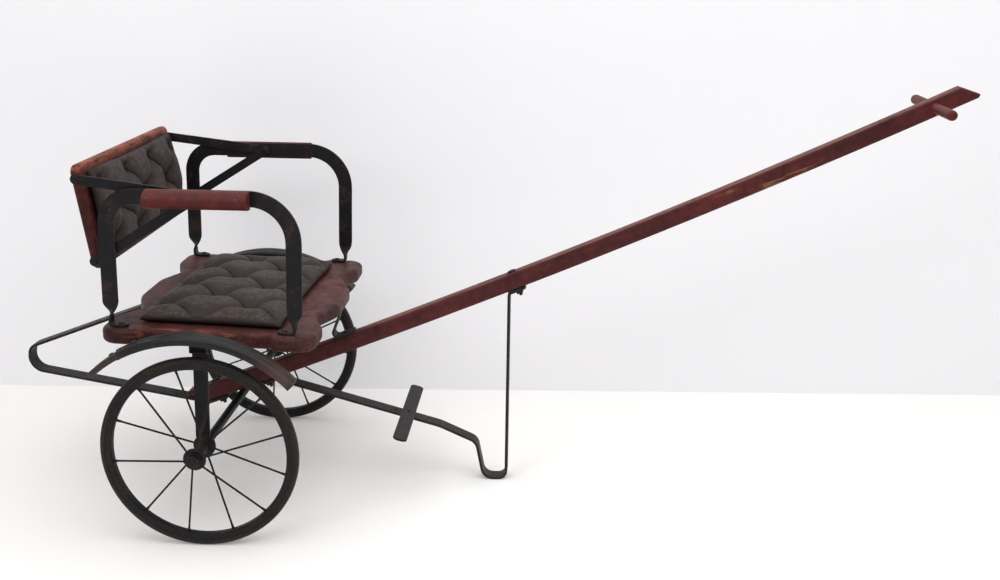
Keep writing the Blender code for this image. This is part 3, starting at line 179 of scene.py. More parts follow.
class Graph:
    """The node tree of one material."""

    def __init__(self, name: str) -> None:
        """Start a material with an empty tree and its output."""
        self.material = bpy.data.materials.new(name)
        self.material.use_nodes = True
        self.tree = self.material.node_tree
        self.tree.nodes.clear()
        self.output = self.tree.nodes.new("ShaderNodeOutputMaterial")

    def node(self, kind: str, settings: dict[str, Any] | None = None,
             inputs: dict[Any, Any] | None = None) -> bpy.types.Node:
        """Add a node.

        Args:
            kind: The node's type.
            settings: Its own settings, which are set first.
            inputs: Values or links by the name or number of its sockets.

        Returns:
            The node.
        """
        made = self.tree.nodes.new(kind)
        for key, value in (settings or {}).items():
            setattr(made, key, value)
        for key, value in (inputs or {}).items():
            if isinstance(key, int):
                socket = made.inputs[key]
            else:
                socket = next(s for s in made.inputs if s.name == key and s.enabled)
            if isinstance(value, Link):
                self.tree.links.new(value.socket, socket)
            elif isinstance(value, tuple) and len(value) == 3 and socket.type == "RGBA":
                socket.default_value = (*value, 1.0)
            else:
                socket.default_value = value
        return made

    def out(self, kind: str, settings: dict[str, Any] | None, inputs: dict[Any, Any] | None,
            output: str) -> Link:
        """Add a node and return one of its outputs.

        Args:
            kind: The node's type.
            settings: Its own settings.
            inputs: Values or links by socket.
            output: Name of the output.

        Returns:
            The output as a link.
        """
        made = self.node(kind, settings, inputs)
        return Link(self, next(s for s in made.outputs if s.name == output and s.enabled))

    def maths(self, operation: str, *values: Number) -> Link:
        """Add a Math node.

        Args:
            operation: Its operation.
            values: Its inputs in order.

        Returns:
            Its result.
        """
        return self.out("ShaderNodeMath", {"operation": operation}, dict(enumerate(values)), "Value")

    def mix(self, share: Number, first: Any, second: Any, blend: str = "MIX") -> Link:
        """Mix two colours.

        Args:
            share: Share of the second colour.
            first: First colour.
            second: Second colour.
            blend: How the second is laid over the first.

        Returns:
            The mixed colour.
        """
        settings = {"data_type": "RGBA", "blend_type": blend}
        inputs = {"Factor": share, "A": first, "B": second}
        return self.out("ShaderNodeMix", settings, inputs, "Result")

    def place(self, turn: Sequence[float] = (0, 0, 0), stretch: Sequence[float] = (1, 1, 1)) -> Link:
        """Return object coordinates, turned and then stretched.

        Args:
            turn: Angles that turn the piece's own direction onto the axes.
            stretch: Factor along each axis.

        Returns:
            The coordinates.
        """
        coordinates = self.out("ShaderNodeTexCoord", None, None, "Object")
        turned = self.out("ShaderNodeMapping", None,
                          {"Vector": coordinates, "Rotation": tuple(turn)}, "Vector")
        return self.out("ShaderNodeMapping", None,
                        {"Vector": turned, "Scale": tuple(stretch)}, "Vector")

    def split(self, vector: Link, axis: str) -> Link:
        """Return one axis of a vector."""
        return self.out("ShaderNodeSeparateXYZ", None, {"Vector": vector}, axis)

    def cloud(self, at: Link, scale: float, detail: float = 4.0, roughness: float = 0.55) -> Link:
        """Return soft noise from 0 to 1.

        Args:
            at: Coordinates.
            scale: Cells to the metre.
            detail: Octaves.
            roughness: Strength of the finer octaves.

        Returns:
            The noise.
        """
        inputs = {"Vector": at, "Scale": scale, "Detail": detail, "Roughness": roughness}
        return self.out("ShaderNodeTexNoise", None, inputs, "Fac")

    def cracks(self, at: Link, scale: float) -> Link:
        """Return the distance to the nearest cell border, for crazed paint and grain.

        Args:
            at: Coordinates.
            scale: Cells to the metre.

        Returns:
            The distance.
        """
        return self.out("ShaderNodeTexVoronoi", {"feature": "DISTANCE_TO_EDGE"},
                        {"Vector": at, "Scale": scale}, "Distance")

    def attribute(self, name: str) -> Link:
        """Return a number kept on the mesh's points."""
        return self.out("ShaderNodeAttribute", {"attribute_name": name}, None, "Fac")

    def edges(self, radius: float) -> Link:
        """Return how close a point is to an edge, from 0 on a flat to about 1.

        Args:
            radius: Reach of the wear from the edge.

        Returns:
            The nearness.
        """
        rounded = self.out("ShaderNodeBevel", {"samples": 6}, {"Radius": radius}, "Normal")
        plain = self.out("ShaderNodeNewGeometry", None, None, "Normal")
        likeness = self.out("ShaderNodeVectorMath", {"operation": "DOT_PRODUCT"},
                            {0: rounded, 1: plain}, "Value")
        return ((1.0 - likeness) * 6.0).clamped()

    def upward(self) -> Link:
        """Return how far the surface faces up, from 0 to 1."""
        normal = self.out("ShaderNodeNewGeometry", None, None, "Normal")
        return self.split(normal, "Z").most(0.0)

    def bump(self, height: Link, distance: float, strength: float = 1.0) -> Link:
        """Return a normal bent by a height.

        Args:
            height: The height, about 0 to 1.
            distance: Depth in metres of a height of 1.
            strength: Share of the effect.

        Returns:
            The normal.
        """
        return self.out("ShaderNodeBump", None,
                        {"Height": height, "Distance": distance, "Strength": strength}, "Normal")

    def finish(self, colour: Any, roughness: Any, normal: Link | None = None,
               **settings: Any) -> bpy.types.Material:
        """Close the tree with a Principled shader.

        Args:
            colour: Base colour.
            roughness: Roughness.
            normal: Bent normal.
            settings: More of the shader's sockets, underscores for spaces.

        Returns:
            The material.
        """
        inputs = {"Base Color": colour, "Roughness": roughness}
        inputs.update({key.replace("_", " "): value for key, value in settings.items()})
        if normal is not None:
            inputs["Normal"] = normal
        shader = self.out("ShaderNodeBsdfPrincipled", None, inputs, "BSDF")
        self.tree.links.new(shader.socket, self.output.inputs["Surface"])
        return self.material


# Finishes


@dataclass(frozen=True)
class PaintedWood:
    """Old brick-red paint on wood, crazed, dulled and worn through at the edges."""

    name: str
    paint: Colour
    shade: Colour
    worn: Colour
    turn: tuple[float, float, float] = (0, 0, 0)
    wear: float = 0.5
    wear_reach: float = 5.0 * MM
    crazing: float = 0.3
    slot: str = "painted_wood"

    def zones(self, graph: Graph, flat: Link, tone: Link) -> Link:
        """Return the paint's tone with its own local marks, none on a plain piece."""
        return tone

    def crazed_zone(self, graph: Graph, flat: Link) -> Link:
        """Return where the paint is crazed, from 0 to 1."""
        return graph.cloud(flat, 16.0, 2.0).between(0.46, 0.64)

    def material(self) -> bpy.types.Material:
        """Build the material."""
        graph = Graph(self.name)
        flat = graph.place()
        along = graph.place(self.turn, (0.06, 1.0, 1.0))
        broad = graph.cloud(flat, 9.0, 3.0)
        mottle = graph.cloud(flat, 75.0, 6.0, 0.65)
        grain = graph.cloud(along, 420.0, 4.0, 0.6)
        streaks = graph.cloud(along, 120.0, 4.0, 0.55)
        dull = (broad * 0.5 + mottle * 0.5).between(0.38, 0.62)
        tone = graph.mix(dull, self.paint, self.shade)
        tone = graph.mix(streaks.between(0.42, 0.72) * 0.6, tone, self.shade)
        tone = self.zones(graph, flat, tone)
        lines = 1.0 - graph.cracks(flat, 300.0).between(0.0, 0.11)
        crazed = lines * self.crazed_zone(graph, flat) * self.crazing
        tone = graph.mix(crazed, tone, tuple(c * 0.22 for c in self.shade))
        patches = graph.cloud(along, 60.0, 6.0, 0.7)
        edge = graph.edges(self.wear_reach)
        rubbed = (edge * 0.8 + patches * 1.4 - (1.55 - self.wear * 0.62)).between(0.0, 0.22)
        nicks = graph.cloud(flat, 230.0, 3.0, 0.7).between(0.70 - self.wear * 0.05, 0.75)
        bare = (rubbed + nicks * 0.5).clamped()
        wood = graph.mix(grain.between(0.3, 0.7), self.worn, tuple(c * 0.4 for c in self.worn))
        tone = graph.mix(bare * 0.85, tone, wood)
        grime = graph.cloud(flat, 28.0, 6.0, 0.7).between(0.52, 0.72)
        tone = graph.mix(grime * 0.55, tone, from_srgb(34, 22, 20))
        specks = graph.cloud(flat, 520.0, 2.0, 0.5).between(0.66, 0.74)
        tone = graph.mix(specks * 0.4, tone, from_srgb(24, 16, 15))
        roughness = mottle * 0.2 + bare * 0.15 + grime * 0.1 + 0.4
        height = grain * 0.3 + mottle * 0.4 - bare * 0.4 - crazed * 0.9
        normal = graph.bump(height, 0.6 * MM, 0.6)
        return graph.finish(tone, roughness, normal, Specular_IOR_Level=0.16)


@dataclass(frozen=True)
class SeatWood(PaintedWood):
    """Paint of the seat board: dusty towards its front, rubbed along its near edge, crazed."""

    dusty: Colour = from_srgb(112, 76, 72)
    orange: Colour = from_srgb(132, 76, 40)
    near_strip: tuple[float, float] = (4.0 * MM - SEAT_HALF_WIDTH, 26.0 * MM - SEAT_HALF_WIDTH)
    dusty_from: tuple[float, float] = (-380.0 * MM, -260.0 * MM)
    rear_to: tuple[float, float] = (-540.0 * MM, -490.0 * MM)
    orange_to: tuple[float, float] = (-360.0 * MM, -290.0 * MM)
    near_to: tuple[float, float] = (-200.0 * MM, -140.0 * MM)
    crazed_across: tuple[float, float] = (-215.0 * MM, -120.0 * MM)
    crazed_from: tuple[float, float] = (-420.0 * MM, -330.0 * MM)

    def zones(self, graph: Graph, flat: Link, tone: Link) -> Link:
        """Return the tone with the dusty front and the orange streaks of the near edge."""
        across = graph.split(flat, "Y")
        forward = graph.split(flat, "X")
        blotch = graph.cloud(flat, 42.0, 5.0, 0.6)
        front = forward.between(*self.dusty_from) * blotch.between(0.36, 0.62)
        tone = graph.mix(front * 0.35, tone, self.dusty)
        streaks = graph.cloud(graph.place((0, 0, 0), (0.16, 1.0, 1.0)), 150.0, 5.0, 0.65)
        strip = 1.0 - across.between(*self.near_strip)
        rear = 1.0 - forward.between(*self.rear_to)
        reach = (1.0 - rear) * (1.0 - forward.between(*self.orange_to) * 0.8)
        corner = rear * (1.0 - across.between(*self.near_to))
        tone = graph.mix(corner * 0.6, tone, from_srgb(42, 24, 25))
        return graph.mix(streaks.between(0.47, 0.62) * strip * reach * 0.8, tone, self.orange)

    def crazed_zone(self, graph: Graph, flat: Link) -> Link:
        """Return the near front quarter and some spots elsewhere."""
        near = 1.0 - graph.split(flat, "Y").between(*self.crazed_across)
        front = graph.split(flat, "X").between(*self.crazed_from)
        return (near * front * 0.9 + graph.cloud(flat, 22.0, 3.0).between(0.5, 0.7) * 0.6).clamped()


@dataclass(frozen=True)
class BackWood(PaintedWood):
    """Paint of the back panel: rubbed to orange-brown wood along its upper edge."""

    upper_edge: tuple[float, float] = (566.0 * MM, 576.0 * MM)

    def zones(self, graph: Graph, flat: Link, tone: Link) -> Link:
        """Return the tone with the rubbed upper edge and its dark scuffs."""
        upper = graph.split(flat, "Z").between(*self.upper_edge)
        rubbed = graph.cloud(graph.place((0, 0, QUARTER), (0.2, 1.0, 1.0)), 130.0, 5.0, 0.65)
        tone = graph.mix(upper * rubbed.between(0.36, 0.58) * 0.75, tone, from_srgb(158, 88, 62))
        scuffs = graph.cloud(flat, 95.0, 6.0, 0.7).between(0.56, 0.64)
        return graph.mix(upper * scuffs * 0.8, tone, from_srgb(38, 24, 22))


@dataclass(frozen=True)
class PoleWood(PaintedWood):
    """Paint of the pole: paler on its upper face, partly dust and partly painted light from above, with worn
    brown spots halfway along.
    """

    spots_from: tuple[float, float] = (300.0 * MM, 420.0 * MM)
    spots_to: tuple[float, float] = (560.0 * MM, 660.0 * MM)

    def zones(self, graph: Graph, flat: Link, tone: Link) -> Link:
        """Return the tone with the pale upper face, dust and painted light together, and the worn spots."""
        along = graph.place(self.turn, (0.1, 1.0, 1.0))
        streaks = graph.cloud(along, 90.0, 5.0, 0.65)
        # The upper face is painted paler: partly dust, partly painted light from above.
        top = graph.upward().between(0.5, 0.8)
        tone = graph.mix(top * streaks.between(0.35, 0.6) * 0.6, tone, from_srgb(126, 88, 72))
        forward = graph.split(flat, "X")
        spots = forward.between(*self.spots_from) * (1.0 - forward.between(*self.spots_to))
        worn = graph.cloud(along, 46.0, 6.0, 0.72).between(0.54, 0.6)
        return graph.mix(spots * worn * 0.8, tone, from_srgb(138, 92, 62))


@dataclass(frozen=True)
class BlackIron:
    """Wrought flat iron with old black paint, brown rust and rubbed edges."""

    name: str
    paint: Colour = from_srgb(21, 19, 24)
    rust: Colour = from_srgb(54, 39, 31)
    rubbed: Colour = from_srgb(84, 76, 70)
    rust_share: float = 0.5
    gloss: float = 0.5
    wear_reach: float = 2.0 * MM
    slot: str = "black_iron"

    def material(self) -> bpy.types.Material:
        """Build the material."""
        graph = Graph(self.name)
        flat = graph.place()
        broad = graph.cloud(flat, 26.0, 5.0, 0.62)
        fine = graph.cloud(flat, 190.0, 6.0, 0.68)
        pits = graph.cloud(flat, 700.0, 3.0, 0.6)
        rust = (broad * 0.55 + fine * 0.45 + self.rust_share * 0.12).between(0.51, 0.63)
        tone = graph.mix(fine.between(0.35, 0.7), self.paint, tuple(c * 0.5 for c in self.paint))
        brown = graph.mix(pits.between(0.42, 0.62), self.rust, tuple(c * 1.7 for c in self.rust))
        tone = graph.mix(rust * 0.8, tone, brown)
        edge = (graph.edges(self.wear_reach) + fine - 0.8).between(0.0, 0.35)
        tone = graph.mix(edge * 0.4, tone, self.rubbed)
        chips = graph.cloud(flat, 330.0, 3.0, 0.7).between(0.66, 0.72)
        tone = graph.mix(chips * 0.5, tone, self.rubbed)
        roughness = fine * 0.22 + rust * 0.22 + (0.56 - self.gloss * 0.34) - edge * 0.06
        height = pits * 0.3 + fine * 0.5 + rust * 0.35 - chips * 0.4
        normal = graph.bump(height, 0.3 * MM, 0.65)
        return graph.finish(tone, roughness, normal, Metallic=edge * 0.3 + chips * 0.3,
                            Specular_IOR_Level=0.22)


@dataclass(frozen=True)
class GuardSheet:
    """Sheet iron with grey-black paint and pale streaks along its run, partly rubbed bare and partly painted
    highlight.
    """

    name: str = "guard_sheet_finish"
    centre: tuple[float, float, float] = (0, 0, 0)
    slot: str = "guard_sheet"

    def material(self) -> bpy.types.Material:
        """Build the material."""
        graph = Graph(self.name)
        flat = graph.place()
        offset = graph.out("ShaderNodeVectorMath", {"operation": "SUBTRACT"},
                           {0: flat, 1: self.centre}, "Vector")
        rise, run = graph.split(offset, "Z"), graph.split(offset, "X")
        across = graph.split(offset, "Y")
        angle = graph.maths("ARCTAN2", rise, run)
        radius = graph.maths("SQRT", rise * rise + run * run)
        along = graph.out("ShaderNodeCombineXYZ", None,
                          {"X": angle * 0.2, "Y": across * 6.0, "Z": radius * 6.0}, "Vector")
        streaks = graph.cloud(along, 30.0, 6.0, 0.7)
        broad = graph.cloud(flat, 24.0, 5.0, 0.6)
        fine = graph.cloud(flat, 210.0, 6.0, 0.68)
        tone = graph.mix(broad.between(0.4, 0.6), from_srgb(34, 32, 32), from_srgb(24, 25, 24))
        tone = graph.mix(fine.between(0.5, 0.66) * 0.5, tone, from_srgb(52, 44, 40))
        rubbed = (streaks * 1.3 + graph.edges(2.5 * MM) * 0.5 + fine * 0.35 - 1.02).between(0.0, 0.2)
        # Pale streaks along the run: partly metal rubbed bare, partly painted highlight.
        tone = graph.mix(rubbed * 0.6, tone, from_srgb(138, 132, 130))
        front = 1.0 - angle.between(math.radians(46.0), math.radians(64.0))
        rear = angle.between(math.radians(110.0), math.radians(124.0))
        ends = (front + rear * 0.6).clamped() * broad.between(0.3, 0.55)
        tone = graph.mix(ends * 0.7, tone, from_srgb(88, 68, 62))
        chips = graph.cloud(flat, 300.0, 4.0, 0.7).between(0.64, 0.7)
        tone = graph.mix(chips * 0.5, tone, from_srgb(22, 19, 18))
        roughness = fine * 0.28 + 0.3 + ends * 0.15
        height = fine * 0.5 + streaks * 0.5 - chips * 0.5
        normal = graph.bump(height, 0.32 * MM, 0.65)
        return graph.finish(tone, roughness, normal, Metallic=rubbed * 0.4, Specular_IOR_Level=0.25)


@dataclass(frozen=True)
class TyreRubber:
    """Old solid rubber, brown-black, dusty and finely cracked across its tread."""

    name: str = "tyre_rubber_finish"
    slot: str = "tyre_rubber"

    def material(self) -> bpy.types.Material:
        """Build the material."""
        graph = Graph(self.name)
        flat = graph.place()
        broad = graph.cloud(flat, 14.0, 3.0)
        fine = graph.cloud(flat, 240.0, 5.0, 0.65)
        tone = graph.mix(broad.between(0.4, 0.65), from_srgb(30, 27, 27), from_srgb(44, 39, 33))
        tone = graph.mix(fine.between(0.5, 0.72) * 0.5, tone, from_srgb(64, 57, 48))
        lines = 1.0 - graph.cracks(flat, 260.0).between(0.0, 0.07)
        tone = graph.mix(lines * broad.between(0.4, 0.6) * 0.6, tone, from_srgb(20, 18, 17))
        scuffed = (graph.edges(3.0 * MM) + fine - 0.8).between(0.0, 0.5)
        tone = graph.mix(scuffed * 0.3, tone, from_srgb(84, 76, 66))
        roughness = fine * 0.25 + 0.42
        normal = graph.bump(fine * 0.6 - lines * 0.5, 0.35 * MM, 0.6)
        return graph.finish(tone, roughness, normal, Specular_IOR_Level=0.2)


@dataclass(frozen=True)
class Leathercloth:
    """Dark warm grey leathercloth: fine grain, scuffed crowns, and painted shade in its creases, hollows and
    low walls.
    """

    name: str = "leathercloth_finish"
    base: Colour = from_srgb(61, 51, 49)
    slot: str = "leathercloth"

    def material(self) -> bpy.types.Material:
        """Build the material."""
        graph = Graph(self.name)
        flat = graph.place()
        crease = graph.attribute("crease")
        crown = graph.attribute("crown")
        broad = graph.cloud(flat, 17.0, 4.0, 0.6)
        patches = graph.cloud(flat, 70.0, 5.0, 0.65)
        fine = graph.cloud(flat, 900.0, 3.0, 0.6)
        pores = graph.cracks(flat, 900.0)
        hollow_shade = tuple(c * 0.62 for c in self.base)
        tone = graph.mix(broad.between(0.38, 0.64), self.base, from_srgb(56, 51, 47))
        tone = graph.mix(patches.between(0.5, 0.72) * 0.6, tone, from_srgb(71, 53, 50))
        # Painted shade away from the puffs' crowns: in the pleats, round the tufts and on the walls.
        tone = graph.mix((1.0 - crown) * 0.65 * patches.between(0.15, 0.45), tone, hollow_shade)
        scuffs = (crown * 0.5 + graph.cloud(flat, 130.0, 6.0, 0.72) - 0.93).between(0.0, 0.18)
        tone = graph.mix(scuffs * 0.4, tone, from_srgb(104, 94, 88))
        # Painted shade, near black, in the pleats, at the tufts and on the pad's low walls.
        tone = graph.mix((crease * 1.15).clamped() * 0.9, tone, from_srgb(18, 14, 13))
        roughness = 0.56 + fine * 0.12 + crease * 0.2 - crown * 0.05
        height = pores.between(0.0, 0.3) * 0.6 + fine * 0.3 + patches * 1.6
        normal = graph.bump(height, 0.22 * MM, 0.7)
        return graph.finish(tone, roughness, normal, Specular_IOR_Level=0.12)


@dataclass(frozen=True)
class StageSurface:
    """Plain pale floor or backdrop, clear from behind, that keeps the cart's shadow."""

    name: str
    pale: Colour
    glow: float

    def material(self) -> bpy.types.Material:
        """Build the material."""
        graph = Graph(self.name)
        rays = graph.node("ShaderNodeLightPath")
        seen = Link(graph, rays.outputs["Is Camera Ray"])
        for other in ("Is Glossy Ray", "Is Transmission Ray"):
            seen = seen.most(Link(graph, rays.outputs[other]))
        tone = graph.mix(seen, (0.0, 0.0, 0.0), self.pale)
        diffuse = graph.out("ShaderNodeBsdfDiffuse", None, {"Color": self.pale}, "BSDF")
        glow = graph.out("ShaderNodeEmission", None, {"Color": tone, "Strength": self.glow},
                         "Emission")
        both = graph.out("ShaderNodeAddShader", None, {0: diffuse, 1: glow}, "Shader")
        behind = graph.out("ShaderNodeNewGeometry", None, None, "Backfacing")
        clear = graph.out("ShaderNodeBsdfTransparent", None, None, "BSDF")
        shown = graph.out("ShaderNodeMixShader", None, {0: behind, 1: both, 2: clear}, "Shader")
        graph.tree.links.new(shown.socket, graph.output.inputs["Surface"])
        return graph.material


class Finishes:
    """The finishes of the cart, each made once."""

    def __init__(self) -> None:
        """Start with none made."""
        self._made: dict[str, bpy.types.Material] = {}

    def get(self, finish: Any) -> bpy.types.Material:
        """Return a finish's material, made at its first use."""
        if finish.name not in self._made:
            self._made[finish.name] = finish.material()
        return self._made[finish.name]


SEAT_WOOD = SeatWood("seat_wood_finish", from_srgb(82, 40, 38), from_srgb(54, 26, 27),
                     from_srgb(112, 66, 44), turn=(0, 0, QUARTER), wear=0.5, crazing=0.9,
                     wear_reach=8.0 * MM)
BACK_WOOD = BackWood("back_wood_finish", from_srgb(96, 40, 34), from_srgb(56, 24, 23),
                     from_srgb(150, 80, 50), turn=(0, 0, QUARTER), wear=0.95)
POLE_WOOD = PoleWood("pole_wood_finish", from_srgb(94, 42, 42), from_srgb(68, 31, 32),
                     from_srgb(138, 98, 76), turn=(0, math.radians(22.0), 0), wear=0.42,
                     wear_reach=3.5 * MM, crazing=0.25)
ARMREST_WOOD = PaintedWood("armrest_wood_finish", from_srgb(100, 40, 36), from_srgb(74, 31, 30),
                           from_srgb(130, 78, 60), wear=0.1, wear_reach=3.0 * MM, crazing=0.15)
HANDLE_WOOD = PaintedWood("handle_wood_finish", from_srgb(104, 46, 40), from_srgb(72, 32, 31),
                          from_srgb(150, 104, 76), turn=(0, 0, QUARTER), wear=0.7, crazing=0.1)
ARM_IRON = BlackIron("arm_iron_finish", rust_share=0.0)
WHEEL_IRON = BlackIron("wheel_iron_finish", paint=from_srgb(25, 22, 23), rust_share=-0.1, gloss=0.5)
STRAP_IRON = BlackIron("strap_iron_finish", paint=from_srgb(34, 31, 31), rust=from_srgb(54, 45, 40),
                       rubbed=from_srgb(104, 98, 94), rust_share=0.1, gloss=0.5)
SCREW_IRON = BlackIron("screw_finish", paint=from_srgb(70, 60, 58), rubbed=from_srgb(150, 146, 142),
                       rust_share=0.0, gloss=0.8)
RUBBER = TyreRubber()
HIDE = Leathercloth()


# Mesh helpers


def bent_path(corners: Sequence[Sequence[float]], radii: Sequence[float],
              step: float = math.radians(6.0)) -> list[Vector]:
    """Round the inner corners of a flat path.

    Args:
        corners: Corner points of the path.
        radii: Bend radius of each inner corner.
        step: Turn from one point of a bend to the next.

    Returns:
        The points of the rounded path.
    """
    path = [Vector(corners[0])]
    for before, corner, after, radius in zip(corners, corners[1:], corners[2:], radii):
        here = Vector(corner)
        arrive = (here - Vector(before)).normalized()
        leave = (Vector(after) - here).normalized()
        turn = arrive.angle_signed(leave)
        if abs(turn) < math.radians(1.0):
            path.append(here)
            continue
        start = here - arrive * radius * math.tan(abs(turn) / 2)
        centre = start + Vector((arrive.y, -arrive.x)) * math.copysign(radius, turn)
        count = max(2, math.ceil(abs(turn) / step))
        for index in range(count + 1):
            spin = Matrix.Rotation(-turn * index / count, 2)
            path.append(centre + spin @ (start - centre))
    path.append(Vector(corners[-1]))
    return path


def corner_face(bm: bmesh.types.BMesh, corners: Iterable[Sequence[float]],
                radii: Sequence[float] | float, segments: int = 6) -> bmesh.types.BMFace:
    """Make a flat face in XY and round its corners.

    Args:
        bm: The mesh being built.
        corners: Corner points in order.
        radii: Radius of each corner, or one radius for all; 0 leaves a corner sharp.
        segments: Segments of each rounding.

    Returns:
        The face.
    """
    points = [Vector((p[0], p[1], 0)) for p in corners]
    rounding = [radii] * len(points) if isinstance(radii, (int, float)) else list(radii)
    verts = [bm.verts.new(point) for point in points]
    bm.faces.new(verts)
    for index, (vert, radius) in enumerate(zip(verts, rounding)):
        if not radius:
            continue
        arrive = points[index] - points[index - 1]
        leave = points[(index + 1) % len(points)] - points[index]
        reach = radius * math.tan(arrive.angle(leave) / 2)
        bmesh.ops.bevel(bm, geom=[vert], offset=reach, segments=segments, profile=0.5,
                        affect="VERTICES", material=-1)
    return bm.faces[:][0]


def round_edges(bm: bmesh.types.BMesh, width: float, segments: int = 3,
                angle: float = math.radians(50.0)) -> None:
    """Round every edge that is sharper than an angle.

    Args:
        bm: The mesh being built.
        width: Width of the rounding.
        segments: Its segments.
        angle: Edges that turn less than this are left.
    """
    bm.normal_update()
    sharp = [e for e in bm.edges if len(e.link_faces) == 2 and e.calc_face_angle(0.0) > angle]
    bmesh.ops.bevel(bm, geom=sharp, offset=width, segments=segments, profile=0.5,
                    affect="EDGES", material=-1, clamp_overlap=True)


def plate(corners: Iterable[Sequence[float]], radii: Sequence[float] | float, thickness: float,
          edge: float, edge_segments: int = 3, corner_segments: int = 6) -> bmesh.types.BMesh:
    """Make a plate from an outline in XY, thick along Z about z = 0, its rims rounded.

    Args:
        corners: Corners of the outline.
        radii: Their radii.
        thickness: Thickness.
        edge: Rounding of the rims.
        edge_segments: Segments of that rounding.
        corner_segments: Segments of each corner.

    Returns:
        The mesh.
    """
    bm = bmesh.new()
    face = corner_face(bm, corners, radii, corner_segments)
    bmesh.ops.translate(bm, verts=bm.verts[:], vec=(0, 0, -thickness / 2))
    grown = bmesh.ops.extrude_face_region(bm, geom=[face])
    tops = [part for part in grown["geom"] if isinstance(part, bmesh.types.BMVert)]
    bmesh.ops.translate(bm, verts=tops, vec=(0, 0, thickness))
    bmesh.ops.recalc_face_normals(bm, faces=bm.faces[:])
    if edge:
        rims = [e for e in bm.edges if abs(e.verts[0].co.z - e.verts[1].co.z) < WELD]
        bmesh.ops.bevel(bm, geom=rims, offset=edge, segments=edge_segments, profile=0.5,
                        affect="EDGES", material=-1, clamp_overlap=True)
    return bm


def sweep(stations: Sequence[Matrix], width: float, thickness: float,
          edge: float = 0.6 * MM) -> bmesh.types.BMesh:
    """Draw a flat bar's section along a row of stations.

    Args:
        stations: Matrices that put the section, which lies in XY, at each station.
        width: Width of the section along X.
        thickness: Its thickness along Y.
        edge: Rounding of its corners.

    Returns:
        The closed bar.
    """
    bm = bmesh.new()
    w, t = width / 2, thickness / 2
    face = corner_face(bm, [(-w, -t), (w, -t), (w, t), (-w, t)], edge, 2)
    bmesh.ops.transform(bm, matrix=stations[0], verts=bm.verts[:])
    for before, after in zip(stations, stations[1:]):
        grown = bmesh.ops.extrude_face_region(bm, geom=[face])
        if before is not stations[0]:
            bmesh.ops.delete(bm, geom=[face], context="FACES_ONLY")
        face = next(part for part in grown["geom"] if isinstance(part, bmesh.types.BMFace))
        bmesh.ops.transform(bm, matrix=after @ before.inverted(), verts=face.verts[:])
    bmesh.ops.recalc_face_normals(bm, faces=bm.faces[:])
    return bm


def along(path: Sequence[Vector], across: Vector, widths: Callable[[float], float] | None = None,
          plane: Matrix = Matrix.Identity(4)) -> list[Matrix]:
    """Return stations along a flat path for a bar whose width lies across the path's plane.

    Args:
        path: Points (along, up) of the bar's middle line.
        across: Direction of the width in the finished piece.
        widths: Share of the full width at a distance from the nearer end.
        plane: Matrix that puts (along, up, 0) in the finished piece.

    Returns:
        A matrix for each point.
    """
    lengths = [0.0]
    for first, second in zip(path, path[1:]):
        lengths.append(lengths[-1] + (second - first).length)
    stations = []
    for index, point in enumerate(path):
        before, after = path[max(index - 1, 0)], path[min(index + 1, len(path) - 1)]
        arrive, leave = (point - before), (after - point)
        run = ((arrive.normalized() if arrive.length else leave.normalized())
               + (leave.normalized() if leave.length else arrive.normalized())).normalized()
        tangent = (plane @ Vector((run.x, run.y, 0, 0))).to_3d()
        place = (plane @ Vector((point.x, point.y, 0, 1))).to_3d()
        normal = tangent.cross(across).normalized()
        share = 1.0 if widths is None else widths(min(lengths[index], lengths[-1] - lengths[index]))
        columns = Matrix((across * share, normal, tangent)).transposed().to_4x4()
        stations.append(Matrix.Translation(place) @ columns)
    return stations


def rounded_end(radius: float, width: float) -> Callable[[float], float]:
    """Return the width shares that round a bar's ends off in plan.

    Args:
        radius: Radius of the corners.
        width: Full width of the bar.

    Returns:
        A function of the distance from the end.
    """
    def share(distance: float) -> float:
        """Return the share of the width at a distance from the end."""
        if distance >= radius:
            return 1.0
        inset = radius - math.sqrt(max(radius ** 2 - (radius - distance) ** 2, 0.0))
        return max(1.0 - 2 * inset / width, 0.05)

    return share


def with_end_points(path: Sequence[Vector], radius: float, count: int = 5) -> list[Vector]:
    """Add points near both ends of a path, where its width is rounded off.

    Args:
        path: The path.
        radius: Radius of the ends.
        count: Points added at each end.

    Returns:
        The longer path.
    """
    shares = [1 - math.cos(QUARTER * index / count) for index in range(1, count + 1)]
    head = (path[1] - path[0]).normalized()
    tail = (path[-2] - path[-1]).normalized()
    start = [path[0] + head * radius * s for s in shares]
    end = [path[-1] + tail * radius * s for s in reversed(shares)]
    return [path[0], *start, *path[1:-1], *end, path[-1]]


def turned(profile: Sequence[Sequence[float]], steps: int, closed: bool = True,
           start: float = 0.0, sweep_angle: float = FULL_TURN) -> bmesh.types.BMesh:
    """Turn a profile of (radius, height) about Z.

    Args:
        profile: Points of the profile.
        steps: Steps of a turn.
        closed: True for a ring profile, False for one that starts and ends on the axis.
        start: Angle at which a part turn starts.
        sweep_angle: Angle of the turn.

    Returns:
        The closed mesh.
    """
    bm = bmesh.new()
    turn = Matrix.Rotation(start, 4, "Z")
    verts = [bm.verts.new(turn @ Vector((r, 0, z))) for r, z in profile]
    whole = sweep_angle >= FULL_TURN - WELD
    if whole:
        edges = [bm.edges.new(pair) for pair in zip(verts, verts[1:])]
        if closed:
            edges.append(bm.edges.new((verts[-1], verts[0])))
        geom = verts + edges
    else:
        geom = [bm.faces.new(verts)]
    bmesh.ops.spin(bm, geom=geom, cent=(0, 0, 0), axis=(0, 0, 1), angle=sweep_angle, steps=steps,
                   use_merge=whole, use_duplicate=False)
    bmesh.ops.remove_doubles(bm, verts=bm.verts[:], dist=WELD)
    bmesh.ops.recalc_face_normals(bm, faces=bm.faces[:])
    return bm


